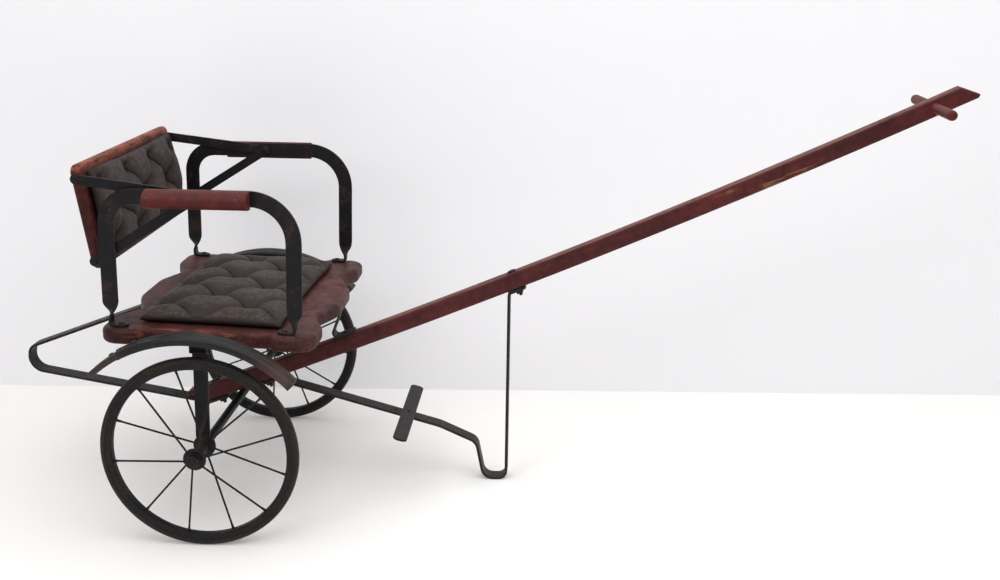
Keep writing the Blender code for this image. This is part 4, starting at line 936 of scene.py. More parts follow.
def mirrored(half: Profile, middle: Profile | None = None) -> Profile:
    """Close a half profile of (radius, height) in millimetres with its mirror image.

    Args:
        half: Points on one side of the middle plane, the last nearest to it.
        middle: Points on the middle plane.

    Returns:
        The whole profile in metres.
    """
    points = half + (middle or []) + [(r, -z) for r, z in reversed(half)]
    return [(r * MM, z * MM) for r, z in points]


def shoulder(radius: float, height: float, bend: float) -> Profile:
    """Return the five points of a rolled shoulder about a (radius, height)."""
    angles = [QUARTER * step / 5 for step in range(1, 6)]
    return [(radius + bend * math.sin(a), height + bend * math.cos(a)) for a in angles]


def wire(start: Vector, end: Vector, radius: float, end_radius: float | None = None,
         sides: int = 12) -> bmesh.types.BMesh:
    """Make a round bar between two points.

    Args:
        start: First end.
        end: Second end.
        radius: Radius at the start.
        end_radius: Radius at the end, if it differs.
        sides: Sides of its section.

    Returns:
        The closed bar.
    """
    bm = bmesh.new()
    run = end - start
    aim = run.to_track_quat("Z", "Y").to_matrix().to_4x4()
    bmesh.ops.create_cone(bm, cap_ends=True, segments=sides, radius1=radius,
                          radius2=radius if end_radius is None else end_radius,
                          depth=run.length, matrix=Matrix.Translation((start + end) / 2) @ aim)
    return bm


def dome(radius: float, height: float, steps: int = 28) -> bmesh.types.BMesh:
    """Make a round fastener head whose flat lies on z = 0."""
    profile = [(0, 0), (radius * 0.97, 0), (radius, height * 0.18)]
    profile += [(radius * math.cos(a), height * (0.18 + 0.82 * math.sin(a)))
                for a in (QUARTER * k / 6 for k in range(1, 6))]
    return turned(profile + [(0, height)], steps, False)


def square_nut(width: float, height: float) -> bmesh.types.BMesh:
    """Make a square nut whose flat lies on z = 0."""
    half = width / 2
    bm = plate([(-half, -half), (half, -half), (half, half), (-half, half)], 0, height,
               0.7 * MM, 2)
    bmesh.ops.translate(bm, verts=bm.verts[:], vec=(0, 0, height / 2))
    return bm


def joined(meshes: Iterable[bmesh.types.BMesh]) -> bmesh.types.BMesh:
    """Put several meshes into the first one and free the others."""
    shells = list(meshes)
    for other in shells[1:]:
        spare = bpy.data.meshes.new("spare")
        other.to_mesh(spare)
        other.free()
        shells[0].from_mesh(spare)
        bpy.data.meshes.remove(spare)
    return shells[0]


def moved(bm: bmesh.types.BMesh, matrix: Matrix) -> bmesh.types.BMesh:
    """Move a whole mesh and return it."""
    bmesh.ops.transform(bm, matrix=matrix, verts=bm.verts[:])
    return bm


# The bench that every sub-assembly is built on


class Bench:
    """Turns meshes into pieces of the cart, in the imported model's frame."""

    def __init__(self) -> None:
        """Read the axle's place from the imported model."""
        low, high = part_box("axle")
        self.axle = (low + high) / 2
        self.ground = Matrix.Translation((self.axle.x, 0, 0))
        self.leaning = Matrix.Translation(self.axle) @ Matrix.Rotation(SEAT_TILT, 4, "Y")
        self.finishes = Finishes()

    def piece(self, bm: bmesh.types.BMesh, name: str, finish: Any, body: str = "cart",
              replaces: Sequence[str] = (), place: Matrix | None = None,
              smooth: float = math.radians(40.0)) -> bpy.types.Object:
        """Finish a mesh as a piece that rides on a body.

        Args:
            bm: The mesh, which is freed.
            name: Name of the piece.
            finish: Its finish.
            body: The CAD body it rides on.
            replaces: CAD nodes it stands for.
            place: Matrix from the mesh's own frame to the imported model's.
            smooth: Edges that turn more than this are shaded sharp.

        Returns:
            The piece's object.
        """
        if place is not None:
            bmesh.ops.transform(bm, matrix=place, verts=bm.verts[:])
        bmesh.ops.remove_doubles(bm, verts=bm.verts[:], dist=WELD)
        mesh = bpy.data.meshes.new(name)
        bm.to_mesh(mesh)
        bm.free()
        mesh.shade_smooth()
        mesh.set_sharp_from_angle(angle=smooth)
        item = bpy.data.objects.new(name, mesh)
        bpy.context.scene.collection.objects.link(item)
        mesh.materials.append(self.finishes.get(finish))
        flats = item.modifiers.new("flat_faces_stay_flat", "WEIGHTED_NORMAL")
        flats.keep_sharp = True
        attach(item, body)
        if replaces:
            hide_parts(*replaces)
        log.info("%s: %d faces on %s", name, len(mesh.polygons), body)
        return item


@dataclass
class Wheel:
    """Spoked wheel: solid tyre, rolled rim, wire spokes and a flanged hub."""

    bench: Bench
    side: Side
    spoke_angles: Sequence[float]
    spoke_radius: float = 1.55 * MM
    flange: float = 26.0 * MM
    seat_radius: float = 15.0 * MM
    steps: int = 120

    def build(self) -> None:
        """Build the wheel's pieces."""
        self.place = (Matrix.Translation((self.bench.axle.x, self.side.value * HALF_TRACK, WHEEL_RADIUS))
                      @ Matrix.Rotation(QUARTER, 4, "X"))
        self._tyre()
        self._rim()
        self._spokes()
        self._hub()

    def _add(self, bm: bmesh.types.BMesh, name: str, finish: Any, node: str) -> None:
        """Add one piece of the wheel."""
        tag = self.side.tag
        self.bench.piece(bm, name + tag, finish, self.side.wheel_body, (node + tag,), self.place)

    def _tyre(self) -> None:
        """Build the solid tyre."""
        half = [(135.9, 5.6), (144.4, 5.6), (144.4, 7.6), (145.3, 8.4), (148.0, 8.3), (150.0, 7.4),
                (151.5, 5.4), (152.3, 2.8)]
        self._add(turned(mirrored(half, [(152.5, 0.0)]), self.steps), "tyre_rubber_", RUBBER, "tyre_")

    def _rim(self) -> None:
        """Build the rolled steel rim."""
        half = [(134.0, 4.4), (134.5, 6.0), (135.6, 7.2), (137.0, 7.5), (143.6, 7.5), (144.1, 7.1),
                (144.1, 6.5), (143.6, 6.1), (136.4, 6.0), (135.6, 5.2)]
        self._add(turned(mirrored(half), self.steps), "rim_", WHEEL_IRON, "wheel_")

    def _spokes(self) -> None:
        """Build the wire spokes with their nipples."""
        shells = []
        for index, angle in enumerate(self.spoke_angles):
            side = 1 if index % 2 == 0 else -1
            even = self.spoke_angles[0] + 360.0 / len(self.spoke_angles) * index
            turn_in = Matrix.Rotation(math.radians(even), 3, "Z")
            turn_out = Matrix.Rotation(math.radians(angle), 3, "Z")
            start = turn_in @ Vector((self.seat_radius, 0, side * self.flange))
            end = turn_out @ Vector((135.0 * MM, 0, side * 1.2 * MM))
            run = (end - start).normalized()
            shells.append(wire(start, end, self.spoke_radius))
            shells.append(wire(end - run * 9.0 * MM, end, 1.7 * MM, 2.3 * MM))
            shells.append(moved(dome(2.6 * MM, 1.6 * MM, 16), Matrix.Translation(
                turn_in @ Vector((self.seat_radius, 0, side * (self.flange + 1.3 * MM))))
                @ Matrix.Rotation(0.0 if side > 0 else math.pi, 4, "X")))
        self._add(joined(shells), "spokes_", WHEEL_IRON, "wheel_")

    def _hub(self) -> None:
        """Build the flanged hub."""
        half = [(5.5, 29.4), (6.1, 30.0), (8.0, 30.0), (8.8, 29.2), (8.8, 28.0), (16.0, 27.9),
                (17.1, 27.4), (17.5, 26.4), (17.5, 25.4), (17.1, 24.8), (10.2, 24.3), (9.0, 22.6),
                (8.5, 18.0), (8.2, 8.0)]
        self._add(turned(mirrored(half), 56), "hub_", WHEEL_IRON, "wheel_")


@dataclass
class Axle:
    """Iron axle with its collars and the nut on each end."""

    bench: Bench

    def build(self) -> None:
        """Build the axle's pieces."""
        half = [(0.0, 298.8), (4.2, 298.8), (5.0, 298.0), (5.0, 227.2), (9.4, 227.2), (10.0, 226.6),
                (10.0, 224.8), (9.4, 224.2), (7.0, 224.2)]
        place = Matrix.Translation(self.bench.axle) @ Matrix.Rotation(QUARTER, 4, "X")
        self.bench.piece(turned(mirrored(half), 48, False), "axle_bar", WHEEL_IRON, "cart",
                         ("axle",), place)
        for side in Side:
            self._nut(side)

    def _nut(self, side: Side) -> None:
        """Build the hexagon nut on one end."""
        bm = bmesh.new()
        corner = 9.0 * MM / math.cos(math.radians(30.0))
        bmesh.ops.create_cone(bm, cap_ends=True, segments=6, radius1=corner, radius2=corner,
                              depth=8.0 * MM)
        round_edges(bm, 1.0 * MM, 2, math.radians(40.0))
        washer = turned([(5.4 * MM, -4.0 * MM), (11.0 * MM, -4.0 * MM), (11.0 * MM, -4.7 * MM),
                         (5.4 * MM, -4.7 * MM)], 40)
        out = Matrix.Rotation(-side.value * QUARTER, 4, "X")
        spot = Matrix.Translation((self.bench.axle.x, side.value * 292.8 * MM, WHEEL_RADIUS))
        self.bench.piece(joined([bm, washer]), "hub_nut_" + side.tag, WHEEL_IRON, "cart",
                         ("axle_nut_" + side.tag,), spot @ out)


@dataclass
class Mudguard:
    """Ribbed sheet over a wheel, with the iron under it and the bracket that holds it."""

    bench: Bench
    side: Side
    centre: tuple[float, float] = (-8.6 * MM, -33.0 * MM)
    front: float = math.radians(44.5)
    rear: float = math.radians(120.0)

    def build(self) -> None:
        """Build the mudguard's pieces."""
        spot = Vector((self.centre[0], self.side.value * HALF_TRACK, self.centre[1]))
        self.place = self.bench.leaning @ Matrix.Translation(spot) @ Matrix.Rotation(QUARTER, 4, "X")
        self._sheet()
        self._iron()
        self._bracket()

    def _sheet(self) -> None:
        """Build the rolled sheet with its hems and rib."""
        outer = [(209.0, 17.0), (214.5, 17.0), *shoulder(214.5, 11.5, 5.5),
                 (220.0, 5.6), (220.4, 4.4), (221.2, 2.6), (221.5, 1.2)]
        inner = [(209.0, 15.0), (214.6, 15.3), *shoulder(214.6, 11.5, 3.8),
                 (218.4, 5.9), (218.8, 4.7), (219.6, 2.9), (219.9, 1.4)]
        hem = [(208.4, 15.4), (208.2, 16.0), (208.4, 16.6)]
        ring = mirrored(inner[::-1] + hem + outer)
        bm = turned(ring, 60, True, self.front, self.rear - self.front)
        self.finish = GuardSheet("guard_finish_" + self.side.tag, tuple(self.place.translation))
        self.bench.piece(bm, "guard_sheet_" + self.side.tag, self.finish, "cart",
                         ("mudguard_" + self.side.tag,), self.place)

    def _iron(self) -> None:
        """Build the narrow bent iron nested under the sheet's rear end, with its bolts."""
        first, last = math.radians(106.0), math.radians(134.5)
        outer = [(209.1, 13.0), (213.6, 13.0), *shoulder(213.6, 8.5, 4.5)]
        inner = [(209.1, 11.0), (213.6, 11.0), *shoulder(213.6, 8.5, 2.5)]
        ring = mirrored(inner[::-1] + [(208.8, 11.6), (208.8, 12.4)] + outer)
        shells = [turned(ring, 28, True, first, last - first)]
        for angle, lift in ((math.radians(112.5), 221.0 * MM), (math.radians(123.0), 217.9 * MM)):
            spot = Matrix.Rotation(angle, 4, "Z") @ Matrix.Translation((lift, 0, 0))
            shells.append(moved(dome(4.6 * MM, 3.2 * MM, 20), spot @ Matrix.Rotation(QUARTER, 4, "Y")))
        nut = Matrix.Rotation(math.radians(121.0), 4, "Z") @ Matrix.Translation((207.8 * MM, 0, 0))
        shells.append(moved(square_nut(8.0 * MM, 4.0 * MM), nut @ Matrix.Rotation(QUARTER, 4, "Y")))
        self.bench.piece(joined(shells), "guard_tail_" + self.side.tag, self.finish, "cart",
                         ("guard_iron_" + self.side.tag,), self.place)

    def _bracket(self) -> None:
        """Build the cranked bracket between the upright and the sheet."""
        s = self.side.value
        thick = 2.5 * MM
        inner, outer = s * 225.45 * MM, s * 239.45 * MM
        crank = SEAT_UNDERSIDE - 6.2 * MM
        top = 181.2 * MM
        path = bent_path([(inner, crank - 26.0 * MM), (inner, crank - thick), (outer, crank + thick),
                          (outer, top)], [thick, thick], math.radians(12.0))
        stations = along(path, Vector((1, 0, 0)), None, ACROSS_UP)
        place = self.bench.leaning @ Matrix.Translation((-3.0 * MM, 0, 0))
        self.bench.piece(sweep(stations, 26.0 * MM, thick), "guard_crank_" + self.side.tag, ARM_IRON,
                         "cart", ("guard_bracket_" + self.side.tag,), place)


@dataclass
class SeatBoard:
    """Waved wooden seat board with a lobe at each corner."""

    bench: Bench

    def _half_edge(self, bulge: float, notch: float, lobe: float) -> list[tuple[float, float]]:
        """Return the corners of half of the front or rear edge."""
        wide = SEAT_HALF_WIDTH + 10.0 * MM
        return [(bulge, SEAT_HALF_WIDTH * 0.2064), (notch, SEAT_HALF_WIDTH * 0.523),
                (lobe, SEAT_HALF_WIDTH * 0.734), (lobe, wide), (lobe - 62.0 * MM, wide),
                (lobe - 72.0 * MM, SEAT_HALF_WIDTH)]

    def build(self) -> None:
        """Build the board."""
        front = self._half_edge(177.0 * MM, 150.0 * MM, 171.0 * MM)
        rear = self._half_edge(155.0 * MM, 130.0 * MM, 157.0 * MM)
        left = front + [(-x, y) for x, y in reversed(rear)]
        corners = left + [(x, -y) for x, y in reversed(left)]
        turns = [r * MM for r in (60.0, 22.0, 24.0, 27.0, 9.0, 9.0)]
        radii = turns + turns[::-1]
        bm = plate(corners, radii + radii[::-1], SEAT_THICKNESS, 11.5 * MM, 6, 10)
        place = self.bench.leaning @ Matrix.Translation((0, 0, SEAT_TOP - SEAT_THICKNESS / 2))
        self.bench.piece(bm, "seat_plank", SEAT_WOOD, "cart", ("seat_board",), place)


@dataclass
class Arm:
    """Iron arm hoop with its wooden strip, screws and the rivet that ties on the two stays behind it."""

    bench: Bench
    side: Side
    width: float = 24.0 * MM
    foot_width: float = 16.0 * MM
    rear: float = 141.0 * MM
    front: float = 139.0 * MM
    rear_height: float = 212.4 * MM
    rise: float = 6.0 * MM
    rivet_x: float = -4.0 * MM

    def top(self, x: float) -> float:
        """Height of the middle of the arm's top bar at x."""
        rear = SEAT_TOP + self.rear_height - self.width / 2
        return rear + self.rise * (x + self.rear) / (self.rear + self.front)

    def build(self) -> None:
        """Build the arm's pieces."""
        self._hoop()
        self._strip()
        self._rivet()

    def _stations(self) -> list[Matrix]:
        """Return the stations of the strap, a quarter twist in each leg."""
        low = SEAT_TOP + FIT_GAP + ARM_THICKNESS / 2
        twist_top = low + 36.0 * MM
        hoop = bent_path([(-self.rear, twist_top), (-self.rear, self.top(-self.rear)),
                          (self.front, self.top(self.front)), (self.front, twist_top)],
                         [42.0 * MM, 65.0 * MM])
        rows: list[list[tuple[Vector, float, float]]] = []
        for x, inward in ((-self.rear, 1), (self.front, -1)):
            foot = bent_path([(x + inward * 26.0 * MM, low), (x, low), (x, low + 9.0 * MM)],
                             [4.0 * MM], math.radians(15.0))
            end_radius = self.foot_width / 2
            ends = [Vector((x + inward * (26.0 * MM - end_radius * (1 - math.cos(QUARTER * k / 6))), low))
                    for k in range(1, 7)]
            leg = [(foot[0], 0.0, 0.12 * self.foot_width)]
            for k, point in enumerate(ends, 1):
                leg.append((point, 0.0, self.foot_width * max(math.sin(QUARTER * k / 6), 0.3)))
            leg += [(point, 0.0, self.foot_width) for point in foot[1:]]
            rise = twist_top - foot[-1].y
            for step in range(1, 16):
                share = step / 16
                eased = share * share * (3 - 2 * share)
                leg.append((Vector((x, foot[-1].y + rise * share)), eased,
                            self.foot_width + (self.width - self.foot_width) * share))
            rows.append(leg)
        line = rows[0] + [(point, 1.0, self.width) for point in hoop] + rows[1][::-1]
        stations = []
        for index, (point, twist, wide) in enumerate(line):
            before, after = line[max(index - 1, 0)][0], line[min(index + 1, len(line) - 1)][0]
            run = (after - before).normalized()
            tangent, normal = Vector((run.x, 0, run.y)), Vector((-run.y, 0, run.x))
            angle = twist * QUARTER
            across = Vector((0, 1, 0)) * math.cos(angle) + normal * math.sin(angle)
            through = Vector((0, -1, 0)) * math.sin(angle) + normal * math.cos(angle)
            columns = Matrix((across * wide / self.width, through, tangent)).transposed().to_4x4()
            stations.append(Matrix.Translation((point.x, 0, point.y)) @ columns)
        return stations

    def _hoop(self) -> None:
        """Build the strap and the bolt head on each foot."""
        bars = [sweep(self._stations(), self.width, ARM_THICKNESS, 0.9 * MM)]
        foot_top = SEAT_TOP + FIT_GAP + ARM_THICKNESS
        for x in (-self.rear + 16.0 * MM, self.front - 16.0 * MM):
            bars.append(moved(dome(5.0 * MM, 2.8 * MM, 24), Matrix.Translation((x, 0, foot_top - 0.2 * MM))))
        spot = Matrix.Translation((0, self.side.value * ARM_Y, 0))
        self.bench.piece(joined(bars), "arm_hoop_" + self.side.tag, ARM_IRON, "cart",
                         ("arm_" + self.side.tag,), self.bench.leaning @ spot)

    def _strip(self) -> None:
        """Build the half-round wooden strip and its two screws."""
        s = self.side.value
        length = 154.5 * MM
        middle = -0.75 * MM
        slope = math.atan2(6.0, 280.0)
        bm = bmesh.new()
        corners = [(0, -14.5 * MM), (2.5 * MM, -14.5 * MM)]
        corners += [(2.5 * MM + 23.5 * MM * math.cos(a), 14.5 * MM * math.sin(a))
                    for a in (math.radians(-90.0 + 9.0 * k) for k in range(1, 20))]
        corners += [(2.5 * MM, 14.5 * MM), (0, 14.5 * MM)]
        face = corner_face(bm, [(x * s, y) for x, y in corners], 0)
        moved(bm, Matrix.Translation((0, 0, -length / 2)))
        grown = bmesh.ops.extrude_face_region(bm, geom=[face])
        tops = [part for part in grown["geom"] if isinstance(part, bmesh.types.BMVert)]
        bmesh.ops.translate(bm, verts=tops, vec=(0, 0, length))
        bmesh.ops.recalc_face_normals(bm, faces=bm.faces[:])
        round_edges(bm, 2.2 * MM, 4)
        spot = Matrix.Translation((middle, s * (ARM_Y + 2.0 * MM + FIT_GAP), self.top(middle) - 1.5 * MM))
        place = self.bench.leaning @ spot @ Matrix.Rotation(-slope, 4, "Y") @ ACROSS_UP
        self.bench.piece(bm, "armrest_strip_" + self.side.tag, ARMREST_WOOD, "cart",
                         ("armrest_" + self.side.tag,), place)
        screws = [moved(dome(3.4 * MM, 1.6 * MM, 20), Matrix.Translation((s * 24.6 * MM, 3.0 * MM, z))
                        @ Matrix.Rotation(s * QUARTER, 4, "Y"))
                  for z in (-length / 2 + 7.0 * MM, length / 2 - 16.0 * MM)]
        self.bench.piece(joined(screws), "armrest_screws_" + self.side.tag, SCREW_IRON, "cart", (), place)

    def _rivet(self) -> None:
        """Build the rivet that ties the stays to the arm."""
        s = self.side.value
        outer, inner = ARM_Y + ARM_THICKNESS / 2 + FIT_GAP, LOWER_STAY_Y - STAY_THICKNESS / 2 - FIT_GAP
        shank = wire(Vector((0, 0, inner - 2.0 * MM)), Vector((0, 0, outer)), 3.0 * MM, None, 20)
        head = moved(dome(6.0 * MM, 2.5 * MM), Matrix.Translation((0, 0, inner)) @ Matrix.Rotation(
            math.pi, 4, "X"))
        turn = Matrix.Rotation(-s * QUARTER, 4, "X")
        spot = Matrix.Translation((self.rivet_x, 0, self.top(self.rivet_x)))
        self.bench.piece(joined([shank, head]), "stay_rivet_" + self.side.tag, ARM_IRON, "cart",
                         ("arm_rivet_" + self.side.tag,), self.bench.leaning @ spot @ turn)


@dataclass
class Backrest:
    """Wooden back panel that leans behind the arms on two stays at each side."""

    bench: Bench
    lean: float = math.radians(10.0)
    height: float = 160.0 * MM
    thickness: float = 15.0 * MM
    half_width: float = BACK_HALF_WIDTH
    rivet: tuple[float, float] = (-4.0 * MM, 384.536 * MM)

    def point(self, up: float, forward: float) -> Vector:
        """Return a point of the panel's plane, up from its bottom and forward of its face."""
        return Vector((-154.5 * MM - math.sin(self.lean) * up + math.cos(self.lean) * forward, 0,
                       266.0 * MM + math.cos(self.lean) * up + math.sin(self.lean) * forward))

    def frame(self, forward: float) -> Matrix:
        """Return the matrix that puts XY in the panel's plane, Y across, X down and Z forward."""
        facing = Matrix(((0, 0, 1, 0), (0, 1, 0, 0), (-1, 0, 0, 0), (0, 0, 0, 1)))
        return (self.bench.leaning @ Matrix.Translation(self.point(self.height / 2, forward))
                @ Matrix.Rotation(-self.lean, 4, "Y") @ facing)

    def build(self) -> None:
        """Build the panel and its stays."""
        half, wide = self.height / 2, self.half_width
        bm = plate([(-half, -wide), (half, -wide), (half, wide), (-half, wide)], 14.0 * MM,
                   self.thickness, 5.0 * MM, 4, 8)
        self.bench.piece(bm, "back_plank", BACK_WOOD, "cart", ("back_panel",),
                         self.frame(-self.thickness / 2))
        for name, up, layer in (("upper_stay_", 140.0 * MM, UPPER_STAY_Y),
                                ("lower_stay_", 14.0 * MM, LOWER_STAY_Y)):
            for side in Side:
                self._stay(name + side.tag, side, up, layer)

    def _stay(self, name: str, side: Side, up: float, layer: float) -> None:
        """Build one stay from the arm's rivet to the panel's end."""
        end = self.point(up, -self.thickness / 2)
        run = Vector((end.x - self.rivet[0], end.z - self.rivet[1]))
        radius = 7.5 * MM
        corners = [(-radius, -radius), (run.length + radius, -radius),
                   (run.length + radius, radius), (-radius, radius)]
        bm = plate(corners, radius * 0.999, STAY_THICKNESS, 0.7 * MM, 2, 8)
        moved(bm, Matrix.Rotation(QUARTER, 4, "X"))
        bolt = moved(dome(4.6 * MM, 2.2 * MM, 22), Matrix.Translation((run.length, side.value * 1.4 * MM, 0))
                     @ Matrix.Rotation(-side.value * QUARTER, 4, "X"))
        yaw = math.asin((layer - LOWER_STAY_Y) / run.length)
        spot = Matrix.Translation((self.rivet[0], side.value * layer, self.rivet[1]))
        aim = Matrix.Rotation(math.atan2(-run.y, run.x), 4, "Y") @ Matrix.Rotation(-side.value * yaw, 4, "Z")
        self.bench.piece(joined([bm, bolt]), name + "_bar", ARM_IRON, "cart", (name,),
                         self.bench.leaning @ spot @ aim)


@dataclass
class Upright:
    """Flat bar from an eye on the axle to a flange under the seat."""

    bench: Bench
    side: Side
    y: float = 221.4 * MM
    width: float = 22.0 * MM
    thickness: float = 5.0 * MM
    setback: float = 5.0 * MM
    flange: float = 34.0 * MM

    def build(self) -> None:
        """Build the upright and its eye."""
        s = self.side.value
        top = SEAT_UNDERSIDE - FIT_GAP - self.thickness / 2
        path = bent_path([(s * self.y, 9.0 * MM), (s * self.y, top), (s * (self.y - self.flange), top)],
                         [5.0 * MM], math.radians(9.0))
        stations = along(path, Vector((1, 0, 0)), None, ACROSS_UP)
        bar = sweep(stations, self.width, self.thickness, 0.9 * MM)
        moved(bar, Matrix.Translation((-self.setback, 0, 0)))
        ring = [(7.3, -2.5), (12.3, -2.5), (13.0, -1.8), (13.0, 1.8), (12.3, 2.5), (7.3, 2.5)]
        eye = turned([(r * MM, z * MM) for r, z in ring], 48)
        moved(eye, Matrix.Translation((0, s * self.y, 0)) @ Matrix.Rotation(QUARTER, 4, "X"))
        self.bench.piece(joined([bar, eye]), "upright_bar_" + self.side.tag, ARM_IRON, "cart",
                         ("upright_" + self.side.tag,), self.bench.leaning)


@dataclass
class Pole:
    """Bowed wooden pole with the cross pin at its tip."""

    bench: Bench
    reach: float = 1193.0 * MM
    rise: float = 495.0 * MM
    bow: float = 0.12
    tail: float = -88.0 * MM
    tip_cut: float = 32.0 * MM
    tip_blunt: float = 4.0 * MM
    loop_bend: float = -58.0 * MM
    handle_x: float = 1124.0 * MM
    depth: float = 30.0 * MM
    width: float = 24.0 * MM
    stations: int = 28
    base: float = field(init=False)

    def __post_init__(self) -> None:
        """Work out the height of the pole's middle line over the axle."""
        slope = math.atan(self.rise / self.reach * (1 - self.bow))
        self.base = WHEEL_RADIUS + (7.0 * MM + FIT_GAP) / math.cos(slope) + self.depth / 2

    def height(self, x: float) -> float:
        """Height of the pole's middle line at x."""
        share = x / self.reach
        return self.base + self.rise * ((1 - self.bow) * share + self.bow * share ** 2)

    def slope(self, x: float) -> float:
        """Angle of the pole's middle line at x."""
        share = x / self.reach
        return math.atan(self.rise / self.reach * ((1 - self.bow) + 2 * self.bow * share))

    def underside(self, x: float, away: float) -> Vector:
        """Return a point off the pole's lower face."""
        slope = self.slope(x)
        return Vector((x + math.sin(slope) * away,
                       self.height(x) - self.depth / 2 - math.cos(slope) * away))

    def topside(self, x: float, away: float) -> Vector:
        """Return a point off the pole's upper face."""
        slope = self.slope(x)
        return Vector((x - math.sin(slope) * away,
                       self.height(x) + self.depth / 2 + math.cos(slope) * away))

    def tail_radius(self) -> float:
        """Radius of the pole's rounded tail, which clears the loop strap below it."""
        return (self.height(self.tail) + self.depth / 2 - self._tail_floor(self.tail)) / 2

    def _tail_floor(self, x: float) -> float:
        """Height of the pole's lower face behind the loop strap's bend."""
        start = self.underside(self.loop_bend, FIT_GAP + FLAT_BAR / 2)
        run = Vector(LOOP_LOW_CORNER) - start
        middle = start.y + run.y * (x - start.x) / run.x
        return middle + (FLAT_BAR / 2 + FIT_GAP) * run.length / abs(run.x) + FIT_GAP

    def build(self) -> None:
        """Build the pole and its handle."""
        half = self.depth / 2
        tail = self.tail
        radius = self.tail_radius()
        middle = Vector((tail, self._tail_floor(tail) + radius))
        outline = []
        for k in range(1, self.stations + 1):
            x = tail + (self.reach - self.tip_cut - tail) * k / self.stations
            outline.append((x, self.height(x) + half))
        outline.append((self.reach, self.height(self.reach) - half + self.tip_blunt))
        front = self.reach - self.tip_blunt
        for k in range(self.stations + 1):
            x = front + (self.loop_bend + FLAT_BAR / 2 - front) * k / self.stations
            outline.append((x, self.height(x) - half))
        for k in range(17):
            angle = -QUARTER - math.pi * k / 16
            outline.append((middle.x + math.cos(angle) * radius, middle.y + math.sin(angle) * radius))
        bm = plate(outline, 0, self.width, 0)
        round_edges(bm, 3.6 * MM, 4, math.radians(55.0))
        place = self.bench.ground @ Matrix.Rotation(QUARTER, 4, "X")
        self.bench.piece(bm, "pole_shaft", POLE_WOOD, "cart", ("pole",), place)
        self._handle()

    def _handle(self) -> None:
        """Build the round pin that a hand draws the cart by."""
        half = [(0.0, 102.5), (4.0, 102.4), (6.4, 101.4), (7.6, 99.2), (8.0, 96.0), (8.0, 60.0),
                (8.0, 14.0)]
        x = self.handle_x
        place = (self.bench.ground @ Matrix.Translation((x, 0, self.height(x)))
                 @ Matrix.Rotation(QUARTER, 4, "X"))
        self.bench.piece(turned(mirrored(half), 40, False), "handle_bar", HANDLE_WOOD, "cart",
                         ("handle_pin",), place)


